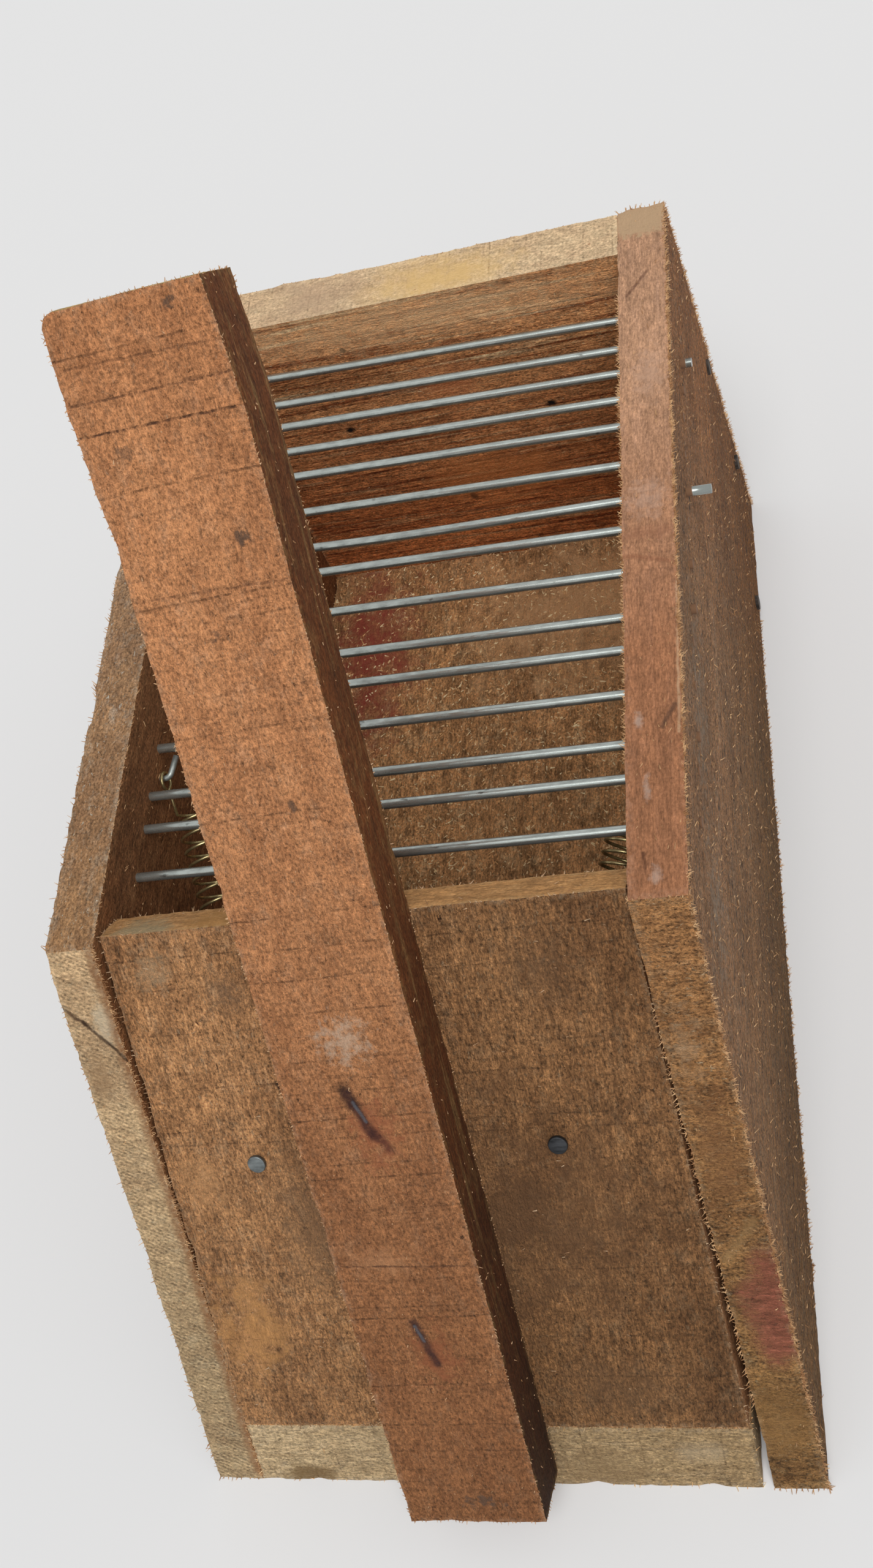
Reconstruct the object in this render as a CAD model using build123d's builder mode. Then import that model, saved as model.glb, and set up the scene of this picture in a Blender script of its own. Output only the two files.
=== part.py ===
from build123d import *

import os
from math import atan2, cos, degrees, pi, radians, sin, tan

# Wooden live-catch box trap: four rough-sawn boards, a grille of wire bars for a lid,
# a sloping front closed by a flap door that two coil springs pull shut, and a long
# setting lever nailed across the door.
#
# Frame: millimetres, +Z up, +Y to the back board, +X to the right of someone who faces
# the door. The origin is the middle of the underside. Modelled shut, as the springs leave it.

os.makedirs("parts", exist_ok=True)

# ---- Box ----
box_length = 254.0  # underside, front to back
box_height = 108.0
box_width = 124.0  # outside, across the top edges at the back
front_run = 80.0  # how far the sloping front leans back over the full height
left_board_t = 10.6
right_board_t = 10.8
floor_t = 12.5
floor_skew = 0.38  # degrees the floor's right end is out of square
back_t = 12.7
left_lean = 0.8  # degrees each side board leans out towards its foot
right_lean = 2.4
left_toe = 0.0  # degrees each side board opens out towards the front
right_toe = 0.55
back_inset = 0.7  # back board in from the side boards' ends, at mid width
back_skew = 0.55  # degrees the back board is out of square
reach = 2.0 * box_width  # length of every blank before it is cut to the box

# ---- Bars ----
bar_count = 15
bar_d = 2.0
bar_fit = 0.04  # bore over bar, on the diameter
bar_drop = 12.4  # bar centres below the top edges
bar_front_gap = (21.4, 20.6)  # left, right: foremost bar behind the top of the sloping front
bar_back_gap = (3.4, 8.4)  # left, right: rearmost bar in front of the back board
bar_depth = 7.0  # how far a bar runs into the left board
# The holes are drilled by eye, so the bars wander about the even pitch, front to back.
bar_wander = (0.1, 1.6, -0.2, 1.9, 3.0, 1.5, 3.3, 5.1, 3.5, 3.9, 5.5, 3.9, 2.4, 0.3, 0.0)
bar_proud = {2: 0.4, 5: 0.8, 6: 0.5, 8: 5.0, 11: 0.4, 12: 2.2}  # bars cut long past the right board

# ---- Door ----
door_t = 8.5
door_tilt = 2.2  # degrees the door lies further back than the sloping front
door_cross = 48.3  # height where the door's face crosses the boards' sloping edges
door_top_drop = 0.9  # top arris below the side boards' tops
door_seat_gap = 0.3  # inner bottom arris above the floor
door_lip = 2.4  # outer bottom arris above the floor
door_gap_left = 0.4  # door edges clear of the side boards
door_gap_right = 0.85

# ---- Door pivot ----
pivot_d = 2.4
pivot_below_top = 10.0  # along the door
pivot_in_door = 14.0
pivot_clearance = 0.05  # radial, in the door, so that it swings on the pins
pivot_sunk = 0.6  # outer ends below the side boards' faces

# ---- Lever ----
lever_l = 243.5
lever_w = 28.7
lever_t = 13.6
lever_foot = 54.6  # lower end below the door's crossing line, along the door
lever_skew = 1.5  # degrees the lever is nailed out of line with the door
lever_corner_r = 7.0

# ---- Nails ----
nail_d = 2.0
nail_fit = 0.04  # bore over nail, on the diameter
nail_head_d = 3.8
nail_head_t = 0.9
nail_sink = 0.5  # floor nails' heads sunk into the side boards
side_nail_l = 32.0
floor_nail_front = 56.0  # floor nails in from the front and back ends
floor_nail_back = 39.0
back_nail_zs = (26.0, 62.0)  # nails into the ends of the back board
lever_nail_vs = (45.7, -6.4)  # along the lever from the crossing line
lever_nail_us = (-1.5, -1.1)
clinch_l = 10.5
clinch_angle = 15.0  # degrees off the lever's length
clinch_sink = 0.9
nail_bend = 1.4  # a bent nail's corner is two mitres, this far from it

# ---- Door springs ----
spring_nail_us = (-31.4, 30.5)  # left, right, across the door
spring_nail_vs = (23.2, 24.4)  # along the door from the crossing line
spring_nail_reach = 7.5  # nail past the door's inner face before it bends down
spring_nail_tail = 5.0
hook_d = 1.3
hook_backs = (46.6, 36.4)  # left, right: hooks behind the top of the sloping front
hook_drops = (15.4, 25.8)  # hooks below the top edges
hook_bore = 8.0
hook_reach = 2.1  # hook past the side board's inner face before it bends back
hook_bend = 0.8
hook_arm = (1.2, 4.8, 1.0)  # inwards, back and up from the hook's bend to its tip
spring_wire_d = 0.7
spring_coil_d = 9.5  # outside
spring_turns = 20
spring_turn_steps = 10  # straight runs in each turn of the coil
spring_sides = 6  # the fine wire is drawn six-sided
spring_leg = 5.0  # straight end between the coil and its eye
spring_eye_r = 1.9  # wire centre of the end eyes
spring_eye_steps = 11  # straight runs in the eye's ring, which stops short of closing
spring_eye_angle = 30.0  # degrees in each
spring_leg_rise = 1.2  # along the coil, where the leg turns out to the first turn
eye_play = 0.3  # between an eye and the wire it hangs on
hook_eye_in = 1.0  # the upper eye inwards of the side board
coil_top = (4.6, 1.1, -2.7)  # inwards, back and up from the hook's root to the coil's middle line

# ---- Derived values ----
front_y = -box_length / 2
back_y = box_length / 2
front_angle = degrees(atan2(front_run, box_height))
door_angle = front_angle + door_tilt
door_sin = sin(radians(door_angle))
door_cos = cos(radians(door_angle))
door_top_v = (box_height - door_top_drop - door_cross) / door_cos
door_foot_v = (floor_t + door_lip - door_cross) / door_cos
door_heel_v = (floor_t + door_seat_gap + door_t * door_sin - door_cross) / door_cos
pivot_v = door_top_v - pivot_below_top
bar_z = box_height - bar_drop
floor_nail_z = floor_t / 2
clinch_w = lever_t + nail_d / 2 - clinch_sink
coil_r = (spring_coil_d - spring_wire_d) / 2
coil_start = spring_eye_r + spring_leg


def side_plane(side, offset=0.0):
    """Inner face of a side board, facing out of the box. The offset moves it outwards."""
    lean = left_lean if side < 0 else right_lean
    toe = left_toe if side < 0 else right_toe
    board_t = left_board_t if side < 0 else right_board_t
    facing = Vector(side, tan(radians(toe)), tan(radians(lean))).normalized()
    top_point = Vector(side * (box_width / 2 - board_t), back_y, box_height)
    return Plane(origin=top_point + facing * offset, x_dir=(0, 1, 0), z_dir=facing)


def outer_plane(side):
    """Outer face of a side board."""
    return side_plane(side, left_board_t if side < 0 else right_board_t)


def on_plane(plane, y, z):
    """Point of a side board's face at this depth and height."""
    facing = plane.z_dir
    start = plane.origin
    x = start.X - (facing.Y * (y - start.Y) + facing.Z * (z - start.Z)) / facing.X
    return Vector(x, y, z)


def side_value(side, pair):
    """The left or the right value of a pair."""
    return pair[0] if side < 0 else pair[1]


# The door's outer face: x across, y up along the door, z out of the box.
door_origin = Vector(0, front_y + door_cross * tan(radians(front_angle)), door_cross)
door_face = Plane(origin=door_origin, x_dir=(1, 0, 0), z_dir=(0, -door_cos, door_sin))
lever_across = door_face.x_dir * cos(radians(lever_skew)) + door_face.y_dir * sin(radians(lever_skew))
lever_face = Plane(origin=door_origin, x_dir=lever_across, z_dir=door_face.z_dir)
back_facing = Vector(sin(radians(back_skew)), cos(radians(back_skew)), 0)
back_outer = Plane(origin=(0, back_y - back_inset, 0), x_dir=(0, 0, 1), z_dir=back_facing)
back_inner = back_outer.offset(-back_t)


def door_point(u, v, w):
    """Point at u across, v up and w out of the door's outer face."""
    return door_face.from_local_coords(Vector(u, v, w))


def lever_point(u, v, w):
    """Point at u across, v up and w out of the lever's seat on the door."""
    return lever_face.from_local_coords(Vector(u, v, w))


def bar_y(side, index):
    """Depth of a bar at one side, counted from the front."""
    first = front_y + front_run + side_value(side, bar_front_gap)
    last = back_y - back_inset - back_t - side_value(side, bar_back_gap)
    return first + (last - first) * index / (bar_count - 1) + bar_wander[index]


def bar_ends(index):
    """Left and right ends of a bar, counted from the front."""
    left = on_plane(side_plane(-1), bar_y(-1, index), bar_z)
    right = on_plane(outer_plane(1), bar_y(1, index), bar_z)
    along = (right - left).normalized()
    return left - along * bar_depth, right + along * bar_proud.get(index, 0.0)


def rod(start, end, diameter, mode=Mode.ADD):
    """Round bar, or a bore with Mode.SUBTRACT, between two points."""
    along = end - start
    with BuildSketch(Plane(origin=start, z_dir=along.normalized())) as section:
        Circle(diameter / 2)
    extrude(section.sketch, amount=along.length, mode=mode)


def mitred_wire(points, diameter, cut, mode=Mode.ADD):
    """Round wire through these points. Each corner is two mitres, this far from it."""
    run = [points[0]]
    for before, corner, after in zip(points, points[1:], points[2:]):
        run.append(corner + (before - corner).normalized() * cut)
        run.append(corner + (after - corner).normalized() * cut)
    run.append(points[-1])
    with BuildLine() as path:
        Polyline(*run)
    with BuildSketch(Plane(origin=path.line @ 0, z_dir=path.line % 0)) as section:
        Circle(diameter / 2)
    sweep(section.sketch, path=path.line, transition=Transition.RIGHT, mode=mode)


def side_nail_ends(side):
    """Head and tip of each nail driven through a side board, into the floor and the back."""
    face = outer_plane(side)
    back_mid_y = back_y - back_inset - back_t / 2
    heads = [
        on_plane(face, front_y + floor_nail_front, floor_nail_z),
        on_plane(face, back_y - floor_nail_back, floor_nail_z),
    ]
    heads += [on_plane(face, back_mid_y, z) for z in back_nail_zs]
    return [(head, head - face.z_dir * side_nail_l) for head in heads]


def pivot_ends(side):
    """Ends of a pivot pin: in the door's edge, and just under the side board's face."""
    pivot = door_point(0, pivot_v, -door_t / 2)
    outer = on_plane(outer_plane(side), pivot.Y, pivot.Z)
    gap = side_value(side, (door_gap_left, door_gap_right))
    edge = on_plane(side_plane(side, -gap), pivot.Y, pivot.Z)
    return edge - Vector(side * pivot_in_door, 0, 0), outer - Vector(side * pivot_sunk, 0, 0)


def hook_offset(side, move):
    """Point this far inwards, back and up from where a wall hook leaves the side board."""
    plane = side_plane(side)
    y = front_y + front_run + side_value(side, hook_backs)
    root = on_plane(plane, y, box_height - side_value(side, hook_drops))
    return root - plane.z_dir * move[0] + Vector(0, move[1], move[2])


def hook_points(side):
    """Wall hook's run: in the board, past its inner face, and bent back away from the pull."""
    elbow = hook_offset(side, (hook_reach, 0, 0))
    arm_in, arm_back, arm_up = hook_arm
    tip = hook_offset(side, (hook_reach + arm_in, arm_back, arm_up))
    return hook_offset(side, (-hook_bore, 0, 0)), elbow, tip


def spring_nail_points(side):
    """Spring nail's run: from its head through the door, then bent down behind it."""
    u = side_value(side, spring_nail_us)
    v = side_value(side, spring_nail_vs)
    elbow_w = -door_t - spring_nail_reach
    return (
        door_point(u, v, 0),
        door_point(u, v, elbow_w),
        door_point(u, v - spring_nail_tail, elbow_w),
    )


def lever_nail_points(index):
    """Clinched nail's run: from its head behind the door, out through the lever, bent flat."""
    u = lever_nail_us[index]
    v = lever_nail_vs[index]
    slant = radians(clinch_angle)
    tip_u = u + clinch_l * sin(slant)
    tip_v = v - clinch_l * cos(slant)
    return lever_point(u, v, -door_t), lever_point(u, v, clinch_w), lever_point(tip_u, tip_v, clinch_w)


def eye_points(eye):
    """An end eye's ring, from its free end round to the leg. The plane's z runs up the leg,
    and its x along the wire that the eye hangs on."""
    points = []
    for step in range(spring_eye_steps, -1, -1):
        angle = radians(step * spring_eye_angle)
        ring = Vector(0, spring_eye_r * sin(angle), spring_eye_r * cos(angle))
        points.append(eye.from_local_coords(ring))
    return points


def coil_points(coil_plane, nail_plane):
    """The coil's turns, from the side of it that is next to the board, and the leg to the nail."""
    coil_l = (nail_plane.origin - coil_plane.origin).length - 2 * coil_start
    steps = spring_turns * spring_turn_steps
    points = []
    for step in range(steps + 1):
        angle = pi + 2 * pi * step / spring_turn_steps
        z = coil_start + coil_l * step / steps
        turn = Vector(coil_r * cos(angle), coil_r * sin(angle), z)
        points.append(coil_plane.from_local_coords(turn))
    points.append(nail_plane.from_local_coords(Vector(0, 0, coil_start - spring_leg_rise)))
    return points


# ---- Side boards: one rough board each, sawn to the sloping front together ----
for side, name in ((-1, "left"), (1, "right")):
    with BuildPart() as side_board:
        with BuildSketch(Plane.YZ):
            with BuildLine():
                Polyline(
                    (front_y, 0),
                    (back_y, 0),
                    (back_y, box_height),
                    (front_y + front_run, box_height),
                    close=True,
                )
            make_face()
        extrude(amount=side * reach)
        split(bisect_by=side_plane(side), keep=Keep.TOP)
        split(bisect_by=outer_plane(side), keep=Keep.BOTTOM)
        for index in range(bar_count):
            bar_left, bar_right = bar_ends(index)
            past = (bar_right - bar_left).normalized() * bar_d
            rod(bar_left, bar_right + past, bar_d + bar_fit, Mode.SUBTRACT)
        pin_inner, pin_outer = pivot_ends(side)
        past = Vector(side * (pivot_sunk + pivot_d), 0, 0)
        rod(pin_inner, pin_outer + past, pivot_d + nail_fit, Mode.SUBTRACT)
        hook_tail, hook_elbow, hook_tip = hook_points(side)
        rod(hook_tail, hook_elbow, hook_d + nail_fit, Mode.SUBTRACT)
        for nail_head, nail_point in side_nail_ends(side):
            sunk = outer_plane(side).z_dir * nail_sink
            rod(nail_head, nail_point, nail_d + nail_fit, Mode.SUBTRACT)
            rod(nail_head, nail_head - sunk, nail_head_d + nail_fit, Mode.SUBTRACT)
    side_board.part.label = f"{name}_side_board"
    export_step(side_board.part, f"parts/{name}_side_board.step")

# ---- Back board: between the side boards, down to the ground ----
with BuildPart() as back_board:
    with BuildSketch(back_outer):
        with Locations((box_height / 2, 0)):
            Rectangle(box_height, reach)
    extrude(amount=-back_t)
    split(bisect_by=side_plane(-1), keep=Keep.BOTTOM)
    split(bisect_by=side_plane(1), keep=Keep.BOTTOM)
    for side in (-1, 1):
        for nail_head, nail_point in side_nail_ends(side)[2:]:
            rod(nail_head, nail_point, nail_d + nail_fit, Mode.SUBTRACT)
back_board.part.label = "back_board"
export_step(back_board.part, "parts/back_board.step")

# ---- Floor board: a gap opens at its right end, because that board toes out further ----
floor_end = on_plane(side_plane(1), back_y - back_t, floor_t)
floor_facing = (cos(radians(floor_skew)), sin(radians(floor_skew)), 0)
with BuildPart() as floor_board:
    with BuildSketch(Plane.YZ):
        with BuildLine():
            Polyline(
                (front_y, 0),
                (back_y, 0),
                (back_y, floor_t),
                (front_y + floor_t * tan(radians(front_angle)), floor_t),
                close=True,
            )
        make_face()
    extrude(amount=reach, both=True)
    split(bisect_by=side_plane(-1), keep=Keep.BOTTOM)
    split(bisect_by=Plane(origin=floor_end, z_dir=floor_facing), keep=Keep.BOTTOM)
    split(bisect_by=back_inner, keep=Keep.BOTTOM)
    for side in (-1, 1):
        for nail_head, nail_point in side_nail_ends(side)[:2]:
            rod(nail_head, nail_point, nail_d + nail_fit, Mode.SUBTRACT)
floor_board.part.label = "floor_board"
export_step(floor_board.part, "parts/floor_board.step")

# ---- Bars: straight galvanised wires, blind in the left board and through the right ----
for index in range(bar_count):
    bar_left, bar_right = bar_ends(index)
    with BuildPart() as bar_wire:
        rod(bar_left, bar_right, bar_d)
    bar_wire.part.label = f"bar_wire_{index + 1:02d}"
    export_step(bar_wire.part, f"parts/bar_wire_{index + 1:02d}.step")

# ---- Door board: square-cut at the top, bevelled at the foot to sit on the floor ----
with BuildPart() as door_board:
    outline = [
        door_point(0, door_foot_v, 0),
        door_point(0, door_top_v, 0),
        door_point(0, door_top_v, -door_t),
        door_point(0, door_heel_v, -door_t),
    ]
    with BuildSketch(Plane.YZ):
        with BuildLine():
            Polyline(*[(point.Y, point.Z) for point in outline], close=True)
        make_face()
    extrude(amount=reach, both=True)
    split(bisect_by=side_plane(-1, -door_gap_left), keep=Keep.BOTTOM)
    split(bisect_by=side_plane(1, -door_gap_right), keep=Keep.BOTTOM)
    for side in (-1, 1):
        pin_inner, pin_outer = pivot_ends(side)
        rod(pin_inner, pin_outer, pivot_d + 2 * pivot_clearance, Mode.SUBTRACT)
        nail_head, nail_elbow, nail_end = spring_nail_points(side)
        rod(nail_head, nail_elbow, nail_d + nail_fit, Mode.SUBTRACT)
    for index in range(len(lever_nail_vs)):
        nail_head, nail_elbow, nail_end = lever_nail_points(index)
        rod(nail_head, nail_elbow, nail_d + nail_fit, Mode.SUBTRACT)
door_board.part.label = "door_board"
export_step(door_board.part, "parts/door_board.step")

# ---- Lever: a long batten on the door, slotted where the nails are clinched ----
with BuildPart() as lever_bar:
    with BuildSketch(lever_face):
        with Locations((0, lever_l / 2 - lever_foot)):
            Rectangle(lever_w, lever_l)
        tip_left = vertices().group_by(Axis.Y)[-1].sort_by(Axis.X)[0]
        fillet(tip_left, radius=lever_corner_r)
    extrude(amount=lever_t)
    for index in range(len(lever_nail_vs)):
        nail_head, nail_elbow, nail_end = lever_nail_points(index)
        nail_run = (nail_head, nail_elbow, nail_end)
        mitred_wire(nail_run, nail_d + nail_fit, nail_bend, Mode.SUBTRACT)
        past = (nail_end - nail_elbow).normalized() * nail_d
        slot_l = clinch_l + nail_d
        slot_x = (nail_end - nail_elbow).normalized()
        slot_mid = (nail_elbow + nail_end + past) / 2
        with BuildSketch(Plane(origin=slot_mid, x_dir=slot_x, z_dir=lever_face.z_dir)):
            Rectangle(slot_l, nail_d + 2 * nail_fit)
        extrude(amount=nail_d / 2 + nail_fit, both=True, mode=Mode.SUBTRACT)
lever_bar.part.label = "lever_bar"
export_step(lever_bar.part, "parts/lever_bar.step")

# ---- Lever nails: driven from behind the door and clinched over the lever ----
for index, name in ((0, "upper"), (1, "lower")):
    nail_head, nail_elbow, nail_end = lever_nail_points(index)
    with BuildPart() as lever_nail:
        mitred_wire((nail_head, nail_elbow, nail_end), nail_d, nail_bend)
        rod(nail_head, nail_head - lever_face.z_dir * nail_head_t, nail_head_d)
    lever_nail.part.label = f"lever_nail_{name}"
    export_step(lever_nail.part, f"parts/lever_nail_{name}.step")

# ---- Pivot pins, wall hooks and spring nails, one of each a side ----
for side, name in ((-1, "left"), (1, "right")):
    pin_inner, pin_outer = pivot_ends(side)
    with BuildPart() as pivot_pin:
        rod(pin_inner, pin_outer, pivot_d)
    pivot_pin.part.label = f"door_pivot_pin_{name}"
    export_step(pivot_pin.part, f"parts/door_pivot_pin_{name}.step")

    with BuildPart() as wall_hook:
        mitred_wire(hook_points(side), hook_d, hook_bend)
    wall_hook.part.label = f"wall_hook_{name}"
    export_step(wall_hook.part, f"parts/wall_hook_{name}.step")

    with BuildPart() as spring_nail:
        nail_head, nail_elbow, nail_end = spring_nail_points(side)
        mitred_wire((nail_head, nail_elbow, nail_end), nail_d, nail_bend)
        rod(nail_head, nail_head + door_face.z_dir * nail_head_t, nail_head_d)
    spring_nail.part.label = f"spring_nail_{name}"
    export_step(spring_nail.part, f"parts/spring_nail_{name}.step")

# ---- Door springs: one wire each, coiled between two legs and two eyes, stretched shut ----
for side, name in ((-1, "left"), (1, "right")):
    hook_tail, hook_elbow, hook_tip = hook_points(side)
    nail_head, nail_elbow, nail_end = spring_nail_points(side)
    hook_along = (hook_elbow - hook_tail).normalized()
    nail_along = (nail_elbow - nail_head).normalized()
    nail_seat = nail_elbow - nail_along * nail_bend
    coil_origin = hook_offset(side, coil_top)
    pull = (nail_seat - coil_origin).normalized()
    nail_eye = nail_seat - pull * (spring_eye_r - (nail_d + spring_wire_d) / 2 - eye_play)
    coil_plane = Plane(origin=coil_origin, x_dir=hook_along, z_dir=pull)
    nail_plane = Plane(origin=nail_eye, x_dir=nail_along, z_dir=-pull)
    turns = coil_points(coil_plane, nail_plane)
    hook_seat = hook_offset(side, (hook_eye_in, 0, 0))
    hook_pull = (turns[0] - hook_seat).normalized()
    hook_eye = hook_seat + hook_pull * (spring_eye_r - (hook_d + spring_wire_d) / 2 - eye_play)
    hook_plane = Plane(origin=hook_eye, x_dir=hook_along, z_dir=hook_pull)
    with BuildPart() as door_spring:
        with BuildLine() as wire:
            Polyline(*eye_points(hook_plane), *turns, *eye_points(nail_plane)[::-1])
        with BuildSketch(Plane(origin=wire.line @ 0, z_dir=wire.line % 0)):
            RegularPolygon(spring_wire_d / 2, spring_sides, major_radius=False)
        sweep(path=wire.line, transition=Transition.RIGHT)
    door_spring.part.label = f"door_spring_{name}"
    export_step(door_spring.part, f"parts/door_spring_{name}.step")

# ---- Nails through the side boards, one group a side ----
for side, name in ((-1, "left"), (1, "right")):
    sunk = outer_plane(side).z_dir * nail_sink
    with BuildPart() as side_nails:
        for nail_head, nail_point in side_nail_ends(side):
            rod(nail_head - sunk, nail_point, nail_d)
            proud = outer_plane(side).z_dir * (nail_head_t - nail_sink)
            rod(nail_head - sunk, nail_head + proud, nail_head_d)
    side_nails.part.label = f"side_nails_{name}"
    export_step(side_nails.part, f"parts/side_nails_{name}.step")
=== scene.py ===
"""Rough-sawn wooden box trap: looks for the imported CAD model.

Laid out as an add-on, run as a script. Metres, in the CAD model's own frame.
"""

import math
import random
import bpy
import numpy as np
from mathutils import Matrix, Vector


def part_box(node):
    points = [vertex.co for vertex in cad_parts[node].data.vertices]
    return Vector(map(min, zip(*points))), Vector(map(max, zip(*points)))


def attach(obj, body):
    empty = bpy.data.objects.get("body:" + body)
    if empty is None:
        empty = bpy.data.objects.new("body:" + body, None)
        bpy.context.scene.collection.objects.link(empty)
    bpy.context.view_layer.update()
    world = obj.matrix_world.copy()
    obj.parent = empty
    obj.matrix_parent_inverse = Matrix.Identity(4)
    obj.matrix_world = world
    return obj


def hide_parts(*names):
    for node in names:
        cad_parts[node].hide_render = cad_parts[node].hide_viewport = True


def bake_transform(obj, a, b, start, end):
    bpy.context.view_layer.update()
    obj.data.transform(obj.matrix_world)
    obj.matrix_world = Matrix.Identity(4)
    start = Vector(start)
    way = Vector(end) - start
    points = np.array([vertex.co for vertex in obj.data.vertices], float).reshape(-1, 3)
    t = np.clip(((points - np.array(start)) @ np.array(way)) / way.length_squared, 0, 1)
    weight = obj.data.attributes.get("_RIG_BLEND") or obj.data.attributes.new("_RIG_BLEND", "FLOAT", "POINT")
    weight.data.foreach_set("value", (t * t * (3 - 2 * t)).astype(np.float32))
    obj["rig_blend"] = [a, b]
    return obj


bl_info = {
    "name": "Box Trap Looks",
    "version": (1, 0, 0),
    "blender": (4, 5, 0),
    "location": "View3D > Sidebar > Box Trap",
    "description": "Rough boards, bars, springs and nails of a wooden box trap",
    "category": "Object",
}

import bmesh
import bpy
from bpy.props import FloatProperty, FloatVectorProperty, IntProperty, PointerProperty
from mathutils import Matrix, Vector, noise

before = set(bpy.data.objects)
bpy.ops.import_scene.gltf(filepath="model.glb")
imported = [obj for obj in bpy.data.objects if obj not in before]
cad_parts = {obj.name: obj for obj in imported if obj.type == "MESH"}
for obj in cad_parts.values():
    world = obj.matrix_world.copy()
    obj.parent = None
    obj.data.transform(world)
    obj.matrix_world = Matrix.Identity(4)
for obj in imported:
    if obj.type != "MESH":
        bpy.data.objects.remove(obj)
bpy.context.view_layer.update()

MM = 0.001
X, Y, Z = Vector((1, 0, 0)), Vector((0, 1, 0)), Vector((0, 0, 1))
BLACK = (0.012, 0.008, 0.006)
BACK_CUT = (0.68, 0.49, 0.29)

# Millimetres: the side boards' height, and the foot and the run of their sloping front.
SIDE_HEIGHT, SLOPE_FOOT, SLOPE_RUN = 108, -127, 80
# The lever's width, and where its arrises are across it.
LEVER_WIDTH, LEVER_HALF = 28.7, 14.4


# ---- Reading the CAD model ----


def cad_points(node):
    """Every vertex of a CAD node, in metres."""
    return [v.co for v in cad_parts[node].data.vertices]


def corner(node, toward):
    """The CAD node's furthest vertex in a direction."""
    return max(cad_points(node), key=lambda p: p.dot(toward)).copy()


def end_centre(node, toward, depth=0.1 * MM):
    """Middle of the CAD node's vertices that lie at its furthest reach in a direction."""
    points = cad_points(node)
    reach = max(p.dot(toward) for p in points)
    near = [p for p in points if p.dot(toward) > reach - depth]
    return sum(near, Vector()) / len(near)


# The door and the lever lie in planes of their own: across, up and out of the door. The door's
# top leans back, so its front arris is found by looking forward as well as up.
door_top_left = corner("door_board", Y * -0.6 + Z - X)
door_foot_left = corner("door_board", -X - Y - Z)
door_up = door_top_left - door_foot_left
door_up = (door_up - X * door_up.x).normalized()
door_out = X.cross(door_up).normalized()
lever_foot_left = corner("lever_bar", door_out - door_up - X)
lever_foot_right = corner("lever_bar", door_out - door_up + X)
lever_across = (lever_foot_right - lever_foot_left).normalized()
lever_up = door_out.cross(lever_across).normalized()
lever_foot = (lever_foot_left + lever_foot_right) / 2


def on_lever(across, up):
    """Point of the lever's face in millimetres, from the middle of its foot."""
    return lever_foot / MM + lever_across * across + lever_up * up


def on_door(x, up):
    """Point of the door's face in millimetres, from its foot."""
    point = door_foot_left / MM + door_up * up
    return Vector((x, point.y, point.z))


def on_slope(x, z):
    """Point of the sloping front in millimetres."""
    return Vector((x, z * SLOPE_RUN / SIDE_HEIGHT + SLOPE_FOOT, z))


# ---- Sizes and colours that a user would change ----


def length(name, millimetres, text):
    """A length property."""
    return FloatProperty(name=name, default=millimetres * MM, unit="LENGTH", description=text)


def colour(name, value, text):
    """A colour property."""
    return FloatVectorProperty(name=name, subtype="COLOR", size=3, default=value, min=0, max=1, description=text)


class TrapSizes(bpy.types.PropertyGroup):
    """Sizes of the rough finish and of the bent wires"""

    cell: length("Grid", 1.1, "Grid of the boards' faces")
    lever_cell: length("Lever grid", 0.8, "Grid of the lever's faces")
    relief: length("Relief", 0.16, "Unevenness of a sawn face")
    wear: length("Arris wear", 0.4, "Wood worn off an arris")
    fibres: IntProperty(name="Fibres", default=2400, description="Torn fibres on one board")
    chips: IntProperty(name="Sawdust", default=6500, description="Chips of sawdust on the floor board")
    lever_round: length("Lever corner", 2.6, "Rounded corner's radius")
    nail: length("Nail", 2.0, "Nail shank thickness")
    nail_head: length("Nail head", 3.8, "Nail head across")
    bar: length("Bar", 2.0, "Bar thickness")
    bow: length("Bow", 0.9, "How far the bowed bar strays to the front")
    hook: length("Hook wire", 1.3, "Wall hook wire thickness")
    hook_bore: length("Hook bore", 8.0, "Hook inside the board")
    hook_reach: length("Hook reach", 2.1, "Hook out of the board")
    spring_wire: length("Spring wire", 0.7, "Spring wire thickness")
    coil: length("Coil", 9.5, "Spring coil across")
    coil_turns: IntProperty(name="Turns", default=20, description="Turns of a door spring")
    eye: length("Eye", 1.9, "Radius of a spring's end eye")
    leg: length("Leg", 5.0, "Straight end of a spring")
    play: length("Play", 0.3, "Room between an eye and its hook")


class TrapColours(bpy.types.PropertyGroup):
    """Colours of the wood, the wire and the stage"""

    lever: colour("Lever", (0.91, 0.41, 0.178), "Face of the lever")
    lever_dark: colour("Lever dark", (0.54, 0.22, 0.09), "Darker wood of the lever")
    door: colour("Door", (0.9, 0.45, 0.193), "Face of the door")
    door_dark: colour("Door dark", (0.37, 0.17, 0.07), "Darker wood of the door")
    straw: colour("Straw", (0.77, 0.52, 0.285), "Fresh sawn end wood")
    rose: colour("Rose", (0.54, 0.3, 0.175), "Planed top edges")
    outer: colour("Outer", (0.8, 0.41, 0.197), "Weathered outer faces")
    inner: colour("Inner", (0.29, 0.125, 0.05), "Inner faces")
    zinc: colour("Zinc", (0.5, 0.54, 0.51), "Galvanised wire")
    brass: colour("Spring", (0.56, 0.45, 0.22), "Yellowish spring wire")
    steel: colour("Steel", (0.25, 0.26, 0.28), "Nails")
    ground: colour("Ground", (0.776, 0.776, 0.776), "Floor and background")


# ---- Shader building ----


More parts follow.
